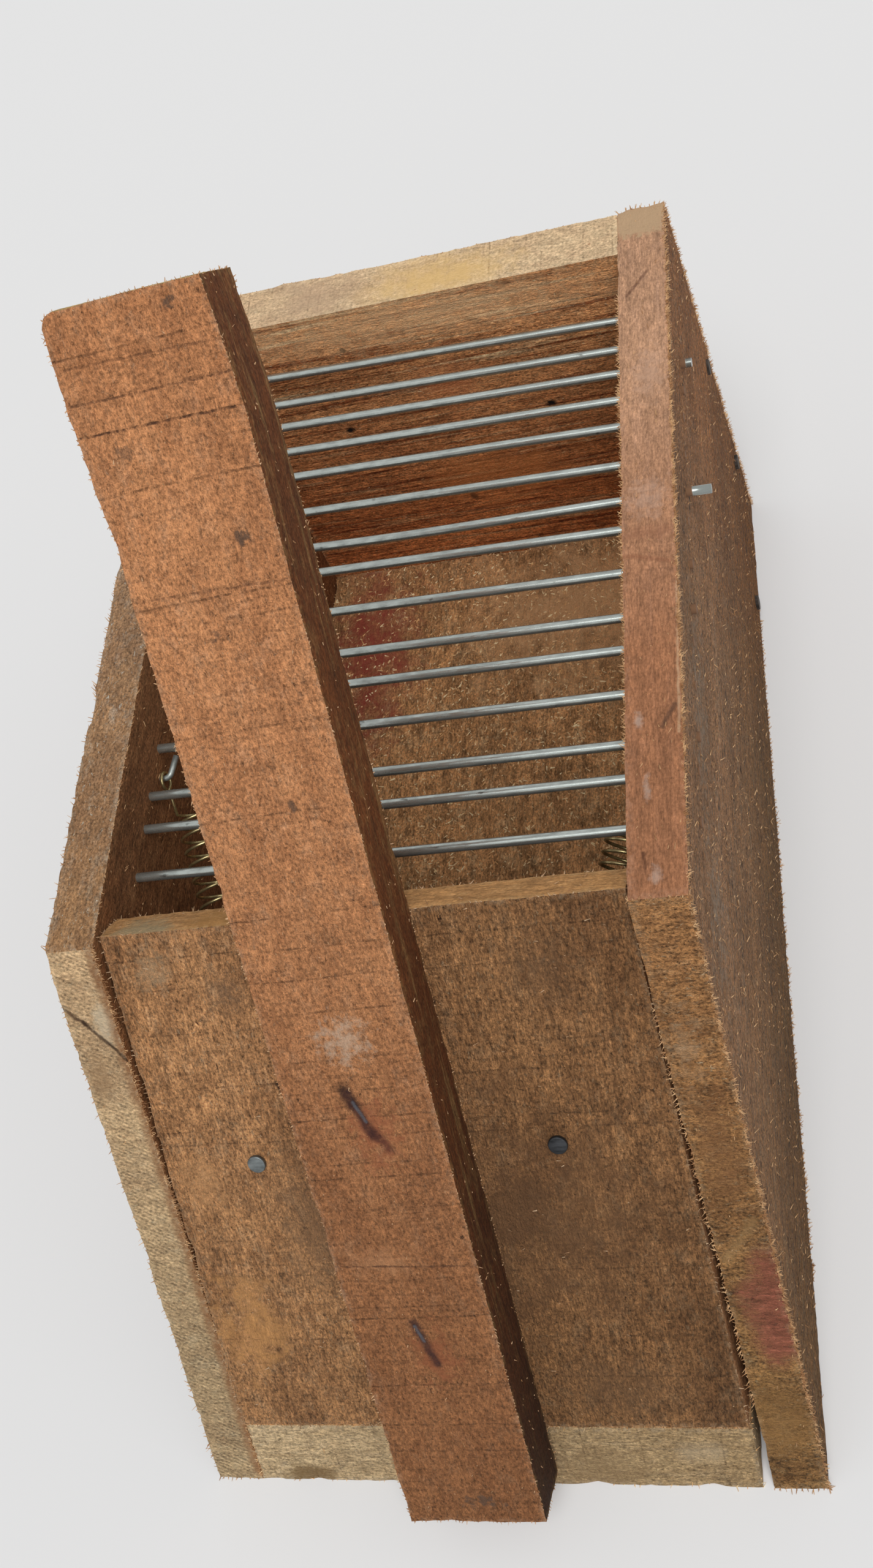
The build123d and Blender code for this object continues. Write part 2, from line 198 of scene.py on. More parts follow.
class Value:
    """An output of a shader node. The signs of arithmetic work on it, with numbers, vectors and each other."""

    def __init__(self, node, place=0):
        self.socket = node.outputs[place]
        self.tree = node.id_data

    def __add__(self, other):
        return maths("ADD", self, other)

    def __sub__(self, other):
        return maths("SUBTRACT", self, other)

    def __rsub__(self, other):
        return maths("SUBTRACT", other, self)

    def __mul__(self, other):
        return maths("MULTIPLY", self, other)

    def __truediv__(self, other):
        return maths("DIVIDE", self, other)

    def __abs__(self):
        return maths("ABSOLUTE", self)

    def dot(self, other):
        return maths("DOT_PRODUCT", self, other)


def fill(made, **inputs):
    """Links or sets a shader node's inputs, by name, or by place as i0, i1 and so on."""
    for key, value in inputs.items():
        socket = made.inputs[int(key[1:]) if key[1:].isdigit() else key.replace("_", " ")]
        if isinstance(value, Value):
            value.tree.links.new(value.socket, socket)
        elif socket.type == "RGBA":
            socket.default_value = (*value[:3], 1)
        else:
            socket.default_value = value


def add_node(tree, kind, settings=None, **inputs):
    """A shader node. Settings are its own values."""
    made = tree.nodes.new(kind)
    for key, value in (settings or {}).items():
        setattr(made, key, value)
    fill(made, **inputs)
    return made


def maths(operation, *values):
    """One step of arithmetic on shader values, as vectors where any of them is a vector."""
    known = [v for v in values if isinstance(v, Value)]
    kind = "ShaderNodeMath"
    if any(v.socket.type != "VALUE" for v in known):
        kind = "ShaderNodeVectorMath"
        values = [(v, v, v) if isinstance(v, (int, float)) else v for v in values]
    inputs = {f"i{place}": value for place, value in enumerate(values)}
    made = add_node(known[0].tree, kind, {"operation": operation}, **inputs)
    return Value(made, "Value" if operation in ("DOT_PRODUCT", "LENGTH") else 0)


def blend(factor, a, b, how="MIX"):
    """Colour b over a by a factor."""
    tree = next(v.tree for v in (factor, a, b) if isinstance(v, Value))
    return Value(add_node(tree, "ShaderNodeMix", {"data_type": "RGBA", "blend_type": how}, i0=factor, i6=a, i7=b), 2)


def ramp(value, low, high, to_low=0.0, to_high=1.0):
    """Value from a range to another, clamped."""
    ends = {"i1": low, "i2": high, "i3": to_low, "i4": to_high}
    return Value(add_node(value.tree, "ShaderNodeMapRange", {"clamp": True}, i0=value, **ends))


def speckle(place, along, across, detail=2.0, rough=0.5, twist=0.0):
    """Noise, from 0 to 1, over a place scaled along its x and across it."""
    values = {"Scale": 1.0, "Detail": detail, "Roughness": rough, "Distortion": twist}
    return Value(add_node(place.tree, "ShaderNodeTexNoise", Vector=place * (along, across, across), **values))


def object_place(tree):
    """Object coordinates, in metres."""
    return Value(add_node(tree, "ShaderNodeTexCoord"), "Object")


def new_group(name, inputs, outputs):
    """An empty shader group, its inputs by name and the node that takes its outputs.
    An input is a kind and a default."""
    tree = bpy.data.node_groups.new(name, "ShaderNodeTree")
    kinds = {"c": "NodeSocketColor", "f": "NodeSocketFloat", "v": "NodeSocketVector"}
    for label, (kind, value) in inputs.items():
        socket = tree.interface.new_socket(name=label, in_out="INPUT", socket_type=kinds[kind])
        socket.default_value = (*value, 1) if kind == "c" else value
    for label, kind in outputs.items():
        tree.interface.new_socket(name=label, in_out="OUTPUT", socket_type=kinds[kind])
    giver = tree.nodes.new("NodeGroupInput")
    return tree, {label: Value(giver, label) for label in inputs}, tree.nodes.new("NodeGroupOutput")


# Millimetres in a metre, and between saw lines.
PER_METRE = 1000.0
SAW_PITCH = 3.2

# How much of each effect plain rough wood has.
AMOUNTS = {
    "Blotch": 0.6, "Mottle": 0.6, "Streak": 0.35, "Saw": 0.4, "Turned": 0.0, "Fleck": 0.45, "Pit": 0.5,
    "Clump": 0.5, "Grit": 0.8, "Fuzz": 0.5, "Weave": 0.0,
}


def board_place(along, across):
    """Object coordinates turned to a board: x with the grain, y across, z through. Millimetres."""
    place = object_place(along.tree)
    ways = (along, across, maths("CROSS_PRODUCT", along, across))
    parts = {f"i{axis}": place.dot(way) * PER_METRE for axis, way in enumerate(ways)}
    return Value(add_node(along.tree, "ShaderNodeCombineXYZ", **parts))


def sawn_wood_group():
    """Rough-sawn wood: blotches, streaks with the grain, saw lines across it, flecks and pits."""
    tree, given, out = new_group(
        "Sawn wood",
        {
            "Along": ("v", (1, 0, 0)),
            "Across": ("v", (0, 1, 0)),
            "Wood": ("c", (0.4, 0.2, 0.1)),
            "Dark wood": ("c", (0.25, 0.12, 0.06)),
            "Pale wood": ("c", (0.6, 0.4, 0.25)),
            "Line": ("c", (0.08, 0.035, 0.015)),
        }
        | {label: ("f", value) for label, value in AMOUNTS.items()},
        {"Colour": "c", "Roughness": "f", "Height": "f", "Torn": "f"},
    )
    dark, pale, line = given["Dark wood"], given["Pale wood"], given["Line"]
    place = board_place(given["Along"], given["Across"])
    blotch = ramp(speckle(place, 0.018, 0.05, 4.0, 0.65, 0.5), 0.4, 0.62)
    base = blend(blotch * given["Blotch"], given["Wood"], dark)
    mottle = ramp(speckle(place, 0.22, 0.3, 5.0, 0.75), 0.47, 0.66)
    base = blend(mottle * given["Mottle"], base, dark)
    mottle = ramp(speckle(place + (40, 9, 4), 0.2, 0.3, 5.0, 0.75), 0.52, 0.72)
    base = blend(mottle * given["Mottle"] * 0.5, base, pale)
    streak = ramp(speckle(place, 0.02, 0.9, 5.0, 0.65, 0.2), 0.5, 0.7)
    base = blend(streak * given["Streak"], base, dark)
    streak = ramp(speckle(place, 0.025, 0.6, 4.0, 0.6, 0.3), 0.55, 0.75)
    base = blend(streak * given["Streak"] * 0.6, base, pale)
    # Saw lines run across the grain, dotted, at uneven spacing, each of its own strength.
    slow = speckle(place, 0.12, 0.12, 3.0, 0.6)
    axes = add_node(tree, "ShaderNodeSeparateXYZ", i0=place)
    turned = {"i0": given["Turned"], "i2": Value(axes, 0), "i3": Value(axes, 1)}
    run = Value(add_node(tree, "ShaderNodeMix", {"data_type": "FLOAT"}, **turned))
    step = (run + slow * 0.8) / SAW_PITCH
    cell = maths("FLOOR", step)
    luck = add_node(tree, "ShaderNodeTexWhiteNoise", {"noise_dimensions": "1D"}, W=cell)
    force = Value(add_node(tree, "ShaderNodeSeparateColor", i0=Value(luck, 1)))
    far = abs(step - cell - (Value(luck) * 0.7 + 0.15))
    saw = ramp(far, 0.09, 0.03) * ramp(force, 0.3, 1.0, 0.2, 0.9)
    # Short lines lie where slow noise passes its middle value.
    short = ramp(abs(speckle(place, 0.5, 0.035, 1.0, 0.4) - 0.5), 0.07, 0.0)
    short = short * ramp(speckle(place, 0.06, 0.05), 0.45, 0.65) * (0.5 - given["Turned"])
    saw = maths("MAXIMUM", saw, short) * ramp(speckle(place, 0.6, 0.5, 4.0, 0.7), 0.4, 0.6)
    base = blend(saw * given["Saw"], base, line)
    # Grit, fuzz and clumps are the fibre-fine light and shade of a torn surface.
    grit = speckle(place, 1.5, 1.9, 4.0, 0.72)
    fuzz = speckle(place, 0.55, 2.6, 3.0, 0.7, 0.4)
    clump = speckle(place, 0.25, 0.8, 3.0, 0.7, 0.1)
    shade = 1.0
    for amount, value, spread in (("Grit", grit, 0.7), ("Fuzz", fuzz, 0.6), ("Clump", clump, 0.65)):
        shade = (ramp(value, 0.3, 0.7, -spread, spread) * given[amount] + 1.0) * shade
    # A weave of slanting saw marks, for end grain.
    weave = maths("SINE", place.dot((3.6, 5.6, 0.0)) + slow * 9.0) * 0.45
    weave = weave + maths("SINE", place.dot((-4.8, 3.4, 0.0))) * 0.15
    uneven = ramp(speckle(place, 0.5, 0.5, 3.0, 0.6), 0.35, 0.65)
    shade = shade * (weave * uneven * given["Weave"] + 1.0)
    base = blend(1.0, base, shade, "MULTIPLY")
    fleck = ramp(speckle(place, 0.9, 1.9, 3.0, 0.6, 0.8), 0.62, 0.7)
    base = blend(fleck * given["Fleck"], base, pale)
    pit = ramp(speckle(place, 0.6, 1.0, 4.0, 0.7, 0.5), 0.64, 0.72)
    fill(
        out,
        Colour=blend(pit * given["Pit"], base, line),
        Roughness=ramp(grit, 0.3, 0.7, 0.95, 0.7),
        Height=shade + fleck * 0.5 - saw * 0.8 - pit * 0.8,
        Torn=ramp(speckle(place, 0.7, 0.7, 3.0, 0.7), 0.45, 0.6),
    )
    return tree


def spot_group():
    """Mask of a ragged patch about a centre, in object coordinates. Millimetres."""
    vectors = {"Centre": ("v", (0, 0, 0)), "Size": ("v", (10, 10, 10))}
    figures = {"Ragged": ("f", 0.5), "Soft": ("f", 0.3), "Grain": ("f", 0.3)}
    tree, given, out = new_group("Spot", vectors | figures, {"Mask": "f"})
    place = object_place(tree) * PER_METRE
    noisy = add_node(tree, "ShaderNodeTexNoise", Vector=place, Scale=given["Grain"], Detail=4.0, Roughness=0.65)
    ragged = (Value(noisy) - 0.5) * given["Ragged"] * 3.0
    far = maths("LENGTH", (place - given["Centre"]) / given["Size"]) + ragged
    fill(out, Mask=ramp(far, 1.0, 1.0 - given["Soft"]))
    return tree


def scratch_group():
    """Mask of a ragged line between two points, in object coordinates. Millimetres."""
    vectors = {"Start": ("v", (0, 0, 0)), "Run": ("v", (1, 0, 0))}
    figures = {"Width": ("f", 0.5), "Ragged": ("f", 1.0), "Broken": ("f", 0.3)}
    tree, given, out = new_group("Scratch", vectors | figures, {"Mask": "f"})
    place = object_place(tree) * PER_METRE
    noisy = add_node(tree, "ShaderNodeTexNoise", Vector=place, Scale=0.35, Detail=4.0, Roughness=0.6)
    place = place + (Value(noisy, 1) - 0.5) * given["Ragged"]
    off, run = place - given["Start"], given["Run"]
    share = ramp(off.dot(run) / run.dot(run), 0.0, 1.0)
    mask = ramp(maths("LENGTH", off - run * share), given["Width"], given["Width"] * 0.3)
    gaps = Value(add_node(tree, "ShaderNodeTexNoise", Vector=place, Scale=0.8, Detail=3.0, Roughness=0.7))
    fill(out, Mask=mask * (1.0 - ramp(gaps, 0.58, 0.42) * given["Broken"]))
    return tree


def shared_group(name):
    """A shared shader group, built once."""
    makers = {"Sawn wood": sawn_wood_group, "Spot": spot_group, "Scratch": scratch_group}
    return bpy.data.node_groups.get(name) or makers[name]()


def new_material(name):
    """A material with a Principled shader, and its tree."""
    made = bpy.data.materials.new(name)
    made.use_nodes = True
    return made, made.node_tree, made.node_tree.nodes["Principled BSDF"]


def spot(tint, centre, size, strength=1.0, ragged=0.5, soft=0.5, grain=0.5):
    """A ragged patch of colour on a face."""
    inputs = {"Centre": centre, "Size": size, "Ragged": ragged, "Soft": soft, "Grain": grain}
    return "Spot", tint, strength, inputs


def scratch(tint, start, end, width=0.5, strength=1.0, ragged=0.8, broken=0.2):
    """A ragged line of colour on a face, such as a crack."""
    run = Vector(end) - Vector(start)
    inputs = {"Start": start, "Run": run, "Width": width, "Ragged": ragged, "Broken": broken}
    return "Scratch", tint, strength, inputs


def wood(
    name, base, dark, pale=(0.62, 0.42, 0.26), along=X, across=Z, marks=(), fades=(), bump=0.6, wear=0.35, **amounts
):
    """Rough-sawn wood for one face. A fade is a direction, where it starts and ends, and the tint at its end."""
    made, tree, shader = new_material(name)
    inputs = {"Along": along, "Across": across, "Wood": base, "Dark wood": dark, "Pale wood": pale}
    inputs |= {label.capitalize(): value for label, value in amounts.items()}
    sawn = add_node(tree, "ShaderNodeGroup", {"node_tree": shared_group("Sawn wood")}, **inputs)
    shown, height = Value(sawn, "Colour"), Value(sawn, "Height")
    place = object_place(tree)
    for way, start, end, tint in fades:
        shown = blend(ramp(place.dot(way), start * MM, end * MM), shown, blend(1.0, shown, tint, "MULTIPLY"))
    for group, tint, strength, inputs in marks:
        mark = Value(add_node(tree, "ShaderNodeGroup", {"node_tree": shared_group(group)}, **inputs)) * strength
        shown = blend(mark, shown, tint)
        if group == "Scratch":
            height = height - mark * 1.5
    # Arrises fray pale.
    arris = Value(add_node(tree, "ShaderNodeAttribute", {"attribute_name": "from_arris"}), "Fac")
    shown = blend(ramp(arris, 1.4, 0.0) * wear * Value(sawn, "Torn"), shown, pale)
    raised = Value(add_node(tree, "ShaderNodeBump", Strength=bump, Distance=0.3 * MM, Height=height))
    fill(shader, Base_Color=shown, Roughness=Value(sawn, "Roughness"), Specular_IOR_Level=0.2, Normal=raised)
    return made


def wire_metal(name, tint, dull, roughness=0.42, pits=0.3, buried=None):
    """Drawn, plated wire: fine mottling, dull spots and a few dark pits."""
    made, tree, shader = new_material(name)
    place = object_place(tree)
    mottle = speckle(place, 315.0, 900.0, 3.0, 0.6)
    base = blend(ramp(mottle, 0.35, 0.7), tint, dull)
    pit = ramp(speckle(place, 260, 520, 2.0, 0.6), 0.68, 0.74)
    base = blend(pit * pits, base, (0.03, 0.025, 0.02))
    rough = ramp(mottle, 0.3, 0.7, roughness, roughness + 0.2)
    fill(shader, Metallic=0.8)
    if buried:
        # Where the ends lie in the board, torn fibres hide them. Past it they are dull.
        depth = place.dot((1, 0.013, 0))
        hidden = ramp(depth, 60 * MM, 60.5 * MM) * ramp(depth, 65.1 * MM, 64.9 * MM)
        base = blend(hidden, blend(ramp(depth, 65 * MM, 65.2 * MM), base, dull), buried)
        fill(shader, Metallic=(1.0 - hidden) * 0.8)
        rough = maths("MAXIMUM", rough, hidden)
    raised = Value(add_node(tree, "ShaderNodeBump", Strength=0.25, Distance=0.05 * MM, Height=mottle))
    fill(shader, Base_Color=base, Roughness=rough, Normal=raised)
    return made


def fibre_wood(name, base, pale):
    """Wood of torn fibres and sawdust: one of two tones by place."""
    made, tree, shader = new_material(name)
    tone = ramp(speckle(object_place(tree), 500, 500, 1.0), 0.4, 0.6)
    fill(shader, Base_Color=blend(tone, base, pale), Roughness=0.85, Specular_IOR_Level=0.2)
    return made


# ---- Meshes ----

# Millimetres from an arris: as far as it is measured, as far as it wears, and where its fibres stand.
ARRIS_REACH, WEAR_REACH, ON_ARRIS = 5.0, 1.2, 0.3

# Splinters: how thick the tip is by the root, how far up the middle is, and how many are made at a time.
TIP_SHARE, MIDDLE_SHARE, BATCH = 0.35, 0.4, 60

# How far torn fibres lean out at an arris and on a face, and their thickness in millimetres.
ARRIS_LEAN, FACE_LEAN, FIBRE_THICK = (0.3, 0.9), (0.1, 0.5), (0.07, 0.16)

# Frayed arrises: how deep the fibres root, how long and how thick they are. Sawdust: length and
# thickness. Millimetres.
FRAY_DEPTH, FRAY_LONG, FRAY_THICK = 0.6, (0.3, 1.3), (0.06, 0.14)
DUST_LONG, DUST_THICK = (0.5, 1.8), (0.12, 0.3)


def place_object(name, data):
    """A new object in the scene."""
    made = bpy.data.objects.new(name, data)
    bpy.context.scene.collection.objects.link(made)
    return made


def finish_piece(bm, name, body, materials, replaced=(), smooth=True):
    """The bmesh as an object in the frame, riding on a body."""
    mesh = bpy.data.meshes.new(name)
    for face in bm.faces:
        face.smooth = smooth
    bm.to_mesh(mesh)
    bm.free()
    for material in materials:
        mesh.materials.append(material)
    made = place_object(name, mesh)
    if body:
        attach(made, body)
    if replaced:
        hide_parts(*replaced)
    return made


def edge_axis(edge, axes):
    """Which axis an edge runs along."""
    run = (edge.verts[1].co - edge.verts[0].co).normalized()
    return max(range(3), key=lambda i: abs(run.dot(axes[i])))


def gridded_box(find, axes, cell):
    """A box through eight corners, its faces cut to a grid. Faces keep the number of
    their axis and side: 0 and 1 for the ends along axes[0], 2 and 3 for axes[1], 4 and 5 for axes[2]."""
    bm = bmesh.new()
    bmesh.ops.create_cube(bm, size=2)
    for face in bm.faces:
        axis = max(range(3), key=lambda i: abs(face.normal[i]))
        face.material_index = 2 * axis + (face.normal[axis] > 0)
    for vert in bm.verts:
        vert.co = find([round(c) for c in vert.co])
    bmesh.ops.recalc_face_normals(bm, faces=bm.faces)
    bm.normal_update()
    planes = [(face.calc_center_median(), face.normal.copy()) for face in bm.faces]
    for axis in range(3):
        rails = [e for e in bm.edges if edge_axis(e, axes) == axis]
        cuts = max(0, round(max(e.calc_length() for e in rails) / cell) - 1)
        bmesh.ops.subdivide_edges(bm, edges=rails, cuts=cuts, use_grid_fill=True)
    bm.normal_update()
    return bm, planes


def arris_distance(point, planes):
    """How far a point of a face is from the nearest other face, in millimetres."""
    gaps = sorted(abs((point - origin).dot(normal)) for origin, normal in planes)
    return gaps[1] / MM


def grain_noise(place, along, across):
    """Noise at a place on a board, drawn out with the grain."""
    return noise.noise(Vector((place.x * along, place.y * across, place.z * across)))


def roughen(bm, planes, axes, sizes, seed, relief=1.0, wear=1.0):
    """Saw relief on the faces, and uneven wear along the arrises."""
    layer = bm.verts.layers.float.new("from_arris")
    # The seed moves the board to its own place in the noise.
    shift = Vector((seed * 7.3, seed * 3.1, seed * 5.7))
    moves = []
    for vert in bm.verts:
        place = Vector([vert.co.dot(axis) / MM for axis in axes]) + shift
        far = arris_distance(vert.co, planes)
        vert[layer] = min(far, ARRIS_REACH)
        broad, fine = grain_noise(place, 0.03, 0.12), grain_noise(place, 0.5, 0.9)
        lift = sizes.relief * relief * (0.8 * broad + 0.7 * fine)
        # An arris is a little worn all along, nicked here and there, and bruised in a few places.
        all_along, nick = 0.25, max(0.0, noise.noise(place * 0.35))
        bruise = 2.0 * max(0.0, noise.noise(place * 0.09) - 0.2)
        lift -= sizes.wear * wear * (all_along + nick + bruise) * max(0.0, 1.0 - far / WEAR_REACH)
        moves.append(vert.normal * lift)
    for vert, move in zip(bm.verts, moves):
        vert.co += move
    for edge in bm.edges:
        faces = edge.link_faces
        edge.smooth = len(faces) != 2 or faces[0].material_index == faces[1].material_index


def facing(way):
    """A turn that points Z along a way."""
    return way.to_track_quat("Z", "Y").to_matrix().to_4x4()


def random_unit(rng):
    """A random direction."""
    return Vector((rng.gauss(0, 1), rng.gauss(0, 1), rng.gauss(0, 1))).normalized()


def slivers(runs):
    """A bmesh of tapering three-sided splinters, from where each starts, its way, length and thickness.
    None points below the ground. A few at a time are much quicker to make than all in one bmesh."""
    out, few = bmesh.new(), bmesh.new()
    for i, (at, way, long, thick) in enumerate(runs):
        if (at + way * long).z < 0:
            way = Vector((way.x, way.y, abs(way.z)))
        place = Matrix.Translation(at + way * long * MIDDLE_SHARE) @ facing(way)
        bmesh.ops.create_cone(
            few, cap_ends=True, segments=3, radius1=thick, radius2=thick * TIP_SHARE, depth=long, matrix=place
        )
        if (i + 1) % BATCH == 0 or i == len(runs) - 1:
            join_mesh(out, few)
            few = bmesh.new()
    few.free()
    return out


def tear_fibres(bm, axes, count, seed, length, arris_share=0.6):
    """Torn fibres standing off a board, most of them at the arrises."""
    rng = random.Random(seed)
    layer = bm.verts.layers.float["from_arris"]
    edge_verts = [v for v in bm.verts if v[layer] < ON_ARRIS]
    face_verts = [v for v in bm.verts if v[layer] >= ON_ARRIS]
    runs = []
    for _ in range(count):
        at_edge = rng.random() < arris_share
        vert = rng.choice(edge_verts if at_edge else face_verts)
        lean = rng.uniform(*(ARRIS_LEAN if at_edge else FACE_LEAN))
        along = axes[0] * rng.choice((-1, 1)) + axes[1] * rng.uniform(-0.5, 0.5) + axes[2] * rng.uniform(-0.5, 0.5)
        way = (along.normalized() * (1 - lean) + vert.normal * lean + random_unit(rng) * 0.25).normalized()
        long = rng.uniform(*length) * MM * rng.uniform(0.3, 1.0)
        runs.append((vert.co.copy(), way, long, rng.uniform(*FIBRE_THICK) * MM))
    return slivers(runs)


def swept_wire(points, radius, sides=10):
    """A closed round wire along points: a circle extruded from each point to the next."""
    bm = bmesh.new()
    heading = (points[1] - points[0]).normalized()
    place = Matrix.Translation(points[0]) @ facing(heading)
    ring = bmesh.ops.create_circle(bm, cap_ends=False, segments=sides, radius=radius, matrix=place)["verts"]
    loop = list({e for v in ring for e in v.link_edges})
    first, here = list(loop), points[0]
    for i in range(1, len(points)):
        ahead = (points[min(i + 1, len(points) - 1)] - points[i - 1]).normalized()
        made = bmesh.ops.extrude_edge_only(bm, edges=loop)["geom"]
        verts = [g for g in made if isinstance(g, bmesh.types.BMVert)]
        loop = [g for g in made if isinstance(g, bmesh.types.BMEdge)]
        turn = heading.rotation_difference(ahead).to_matrix().to_4x4()
        move = Matrix.Translation(points[i]) @ turn @ Matrix.Translation(-here)
        bmesh.ops.transform(bm, matrix=move, verts=verts)
        heading, here = ahead, points[i]
    bmesh.ops.holes_fill(bm, edges=first + loop, sides=sides)
    bmesh.ops.recalc_face_normals(bm, faces=bm.faces)
    return bm


def rounded(points, radius, steps=5):
    """Points with their corners turned into arcs."""
    run = [points[0]]
    for before, here, after in zip(points, points[1:], points[2:]):
        back = (before - here).normalized() * radius
        ahead = (after - here).normalized() * radius
        for step in range(steps + 1):
            t = step / steps
            run.append(here + back * (1 - t) ** 2 + ahead * t**2)
    run.append(points[-1])
    return run


def join_mesh(into, piece):
    """Adds one bmesh to another."""
    mesh = bpy.data.meshes.new("part")
    piece.to_mesh(mesh)
    piece.free()
    into.from_mesh(mesh)
    bpy.data.meshes.remove(mesh)


def settings():
    """The sizes and the colours."""
    scene = bpy.context.scene
    return scene.trap_sizes, scene.trap_colours


def tinted(value, by):
    """A colour times a number or another colour."""
    by = by if isinstance(by, tuple) else (by, by, by)
    return tuple(v * b for v, b in zip(value, by))


def cad_corner(node, axes, nudges=None):
    """Finds a CAD board's corners from three signs. Nudges warp it, in millimetres by signs."""

    def find(signs):
        toward = sum((axis * sign for axis, sign in zip(axes, signs)), Vector())
        nudge = (nudges or {}).get((signs[0], signs[1]), (0, 0, 0))
        return corner(node, toward) + Vector(nudge) * MM

    return find


def lever_corner(signs):
    """The lever's corners, as if its rounded one were square."""
    foot = corner("lever_bar", lever_up * -1 + lever_across * signs[1] + door_out * signs[2])
    if signs[0] < 0:
        return foot
    tip = corner("lever_bar", lever_up + lever_across + door_out * signs[2])
    width = (lever_foot_right - lever_foot_left).length
    return tip + lever_across * min(0, signs[1]) * width


def make_board(
    node, body, slot, axes, faces, torn, seed, fibres, cell=None, find=None, shape=None, length=(0.4, 1.5), **rough
):
    """A rough board that stands for a CAD board, and its torn fibres."""
    sizes, _ = settings()
    name = node.rsplit("_", 1)[0]
    bm, planes = gridded_box(find or cad_corner(node, axes), axes, cell or sizes.cell)
    roughen(bm, planes, axes, sizes, seed, **rough)
    if shape:
        shape(bm)
    standing = tear_fibres(bm, axes, fibres, seed + 100, length)
    finish_piece(bm, name, body, faces, (node,))
    finish_piece(standing, name + "_fibres", body, [torn], smooth=False)


# ---- Faces of the boards ----


def sloping_cut(side, straw):
    """The sawn slope of a side board."""
    if side < 0:
        marks = [
            spot((0.72, 0.6, 0.42), on_slope(-54, 95), (3, 5, 6), 0.6),
            spot((0.4, 0.24, 0.12), on_slope(-59, 85), (3, 6, 8), 0.5),
            # The dark spot and line down the inner arris: partly the wood's dark cord, partly painted shade.
            spot((0.3, 0.15, 0.07), on_slope(-51.5, 103), (2.4, 4, 6), 0.8),
            scratch((0.33, 0.155, 0.065), on_slope(-51.4, 108), on_slope(-52.9, 2), 2.4, 0.9, 2.0, 0.15),
            scratch((0.5, 0.3, 0.15), on_slope(-66.5, 98), on_slope(-66.5, 20), 0.8, 0.5, 1.4, 0.6),
            scratch((0.1, 0.05, 0.025), on_slope(-63, 98.6), on_slope(-58.3, 95), 0.7, 0.9),
            scratch((0.06, 0.03, 0.015), on_slope(-58.6, 95.2), on_slope(-51, 87), 0.55, 0.95),
        ]
        # Painted shade: the fade darkens the slope towards its foot.
        return wood(
            "left sloping cut", straw, (0.45, 0.28, 0.15), (0.88, 0.72, 0.48), across=door_up, marks=marks,
            fades=[(Z, 105, 25, (0.74, 0.78, 0.78))], streak=0.0, saw=0.15, weave=0.85, grit=0.9,
            fuzz=0.4, pit=0.6, bump=0.9,
        )
    marks = [
        spot((0.36, 0.165, 0.065), on_slope(60.5, 66), (5, 14, 18), 0.5, 0.9),
        spot((0.72, 0.45, 0.25), on_slope(58, 84), (3, 8, 10), 0.5, 1.4, 0.8, 0.4),
        spot((0.43, 0.225, 0.075), on_slope(62, 14), (8, 9, 14), 0.6),
        scratch((0.62, 0.37, 0.15), on_slope(58, 46), on_slope(64, 53), 1.6, 0.45, 2.0),
        scratch((0.46, 0.145, 0.09), (66.2, -93.5, 45), (65.6, -105, 30), 5.2, 0.85, 3.0, 0.1),
        scratch((0.46, 0.155, 0.09), (61.8, -97.5, 40), (64.2, -106.5, 27.5), 4.4, 0.8, 3.0, 0.2),
    ]
    # Painted shade: the fade darkens the slope towards its foot.
    return wood(
        "right sloping cut", (0.7, 0.34, 0.13), (0.28, 0.12, 0.045), (0.84, 0.6, 0.36), across=door_up, marks=marks,
        fades=[(Z, 100, 20, (0.78, 0.85, 0.8))], streak=0.0, saw=0.1, clump=1.4, grit=1.3, fuzz=0.8, fleck=0.8,
        pit=1.5, bump=1.2,
    )


def top_edge(side, rose):
    """The planed top edge of a side board."""
    if side < 0:
        return wood(
            "left top edge", (0.6, 0.33, 0.15), (0.32, 0.165, 0.08), (0.85, 0.74, 0.56), along=Y, across=X,
            fades=[(Y, -40, 60, (1.0, 1.08, 1.25))], streak=0.15, saw=0.15, fleck=1.0, pit=0.6, clump=0.7, grit=1.0,
            fuzz=0.3, bump=1.0,
        )
    sheen = (0.62, 0.5, 0.42)
    marks = [
        spot((0.5, 0.34, 0.2), (57, 128, 108), (13, 11, 20), 0.9, 0.25, 0.15),
        spot(sheen, (54.9, -10.6, 108), (1.0, 2.6, 3), 0.4, 1.0, 0.8),
        spot(sheen, (56.2, -25, 108), (0.8, 3.4, 3), 0.35, 1.0, 0.8),
        spot(sheen, (57.6, -42.7, 108), (1.2, 2.4, 3), 0.35, 1.0, 0.8),
        spot((0.58, 0.36, 0.25), (58, 76, 108), (4, 9, 5), 0.5, 0.9, 0.8),
        spot((0.6, 0.4, 0.3), (57, 42, 108), (5, 6, 5), 0.4, 0.9, 0.8),
        spot((0.3, 0.13, 0.07), (58, 33, 108), (9, 2.4, 5), 0.5, 0.9, 0.8),
        scratch((0.26, 0.1, 0.05), (52.5, 28, 108), (65, 24, 108), 0.8, 0.5, 1.6),
        scratch((0.1, 0.04, 0.02), (55.4, -38, 108), (56.3, -48, 107), 0.5, 0.9),
        scratch((0.12, 0.05, 0.03), (57.8, 106, 108), (53.4, 99.5, 108), 0.6, 0.7),
        scratch((0.1, 0.05, 0.03), (61.6, -8, 108), (59.2, -12.4, 108), 0.7, 0.8),
        scratch((0.6, 0.4, 0.24), (62.3, -14, 108), (62.6, 20, 108), 0.4, 0.6),
        scratch((0.5, 0.33, 0.2), (51.2, 118, 108), (51.2, -45, 108), 0.7, 0.5, 1.2, 0.7),
    ]
    # The fade makes the front end darker and redder: partly the wood's own colour, partly painted shade.
    return wood(
        "right top edge", rose, tinted(rose, 0.68), (0.56, 0.33, 0.22), along=Y, across=X, marks=marks,
        fades=[(Y, 75, 5, (0.72, 0.57, 0.47))], mottle=0.7, streak=0.9, saw=0.1, fleck=0.15, pit=0.25, clump=0.3,
        grit=0.4, fuzz=0.6, bump=0.5,
    )


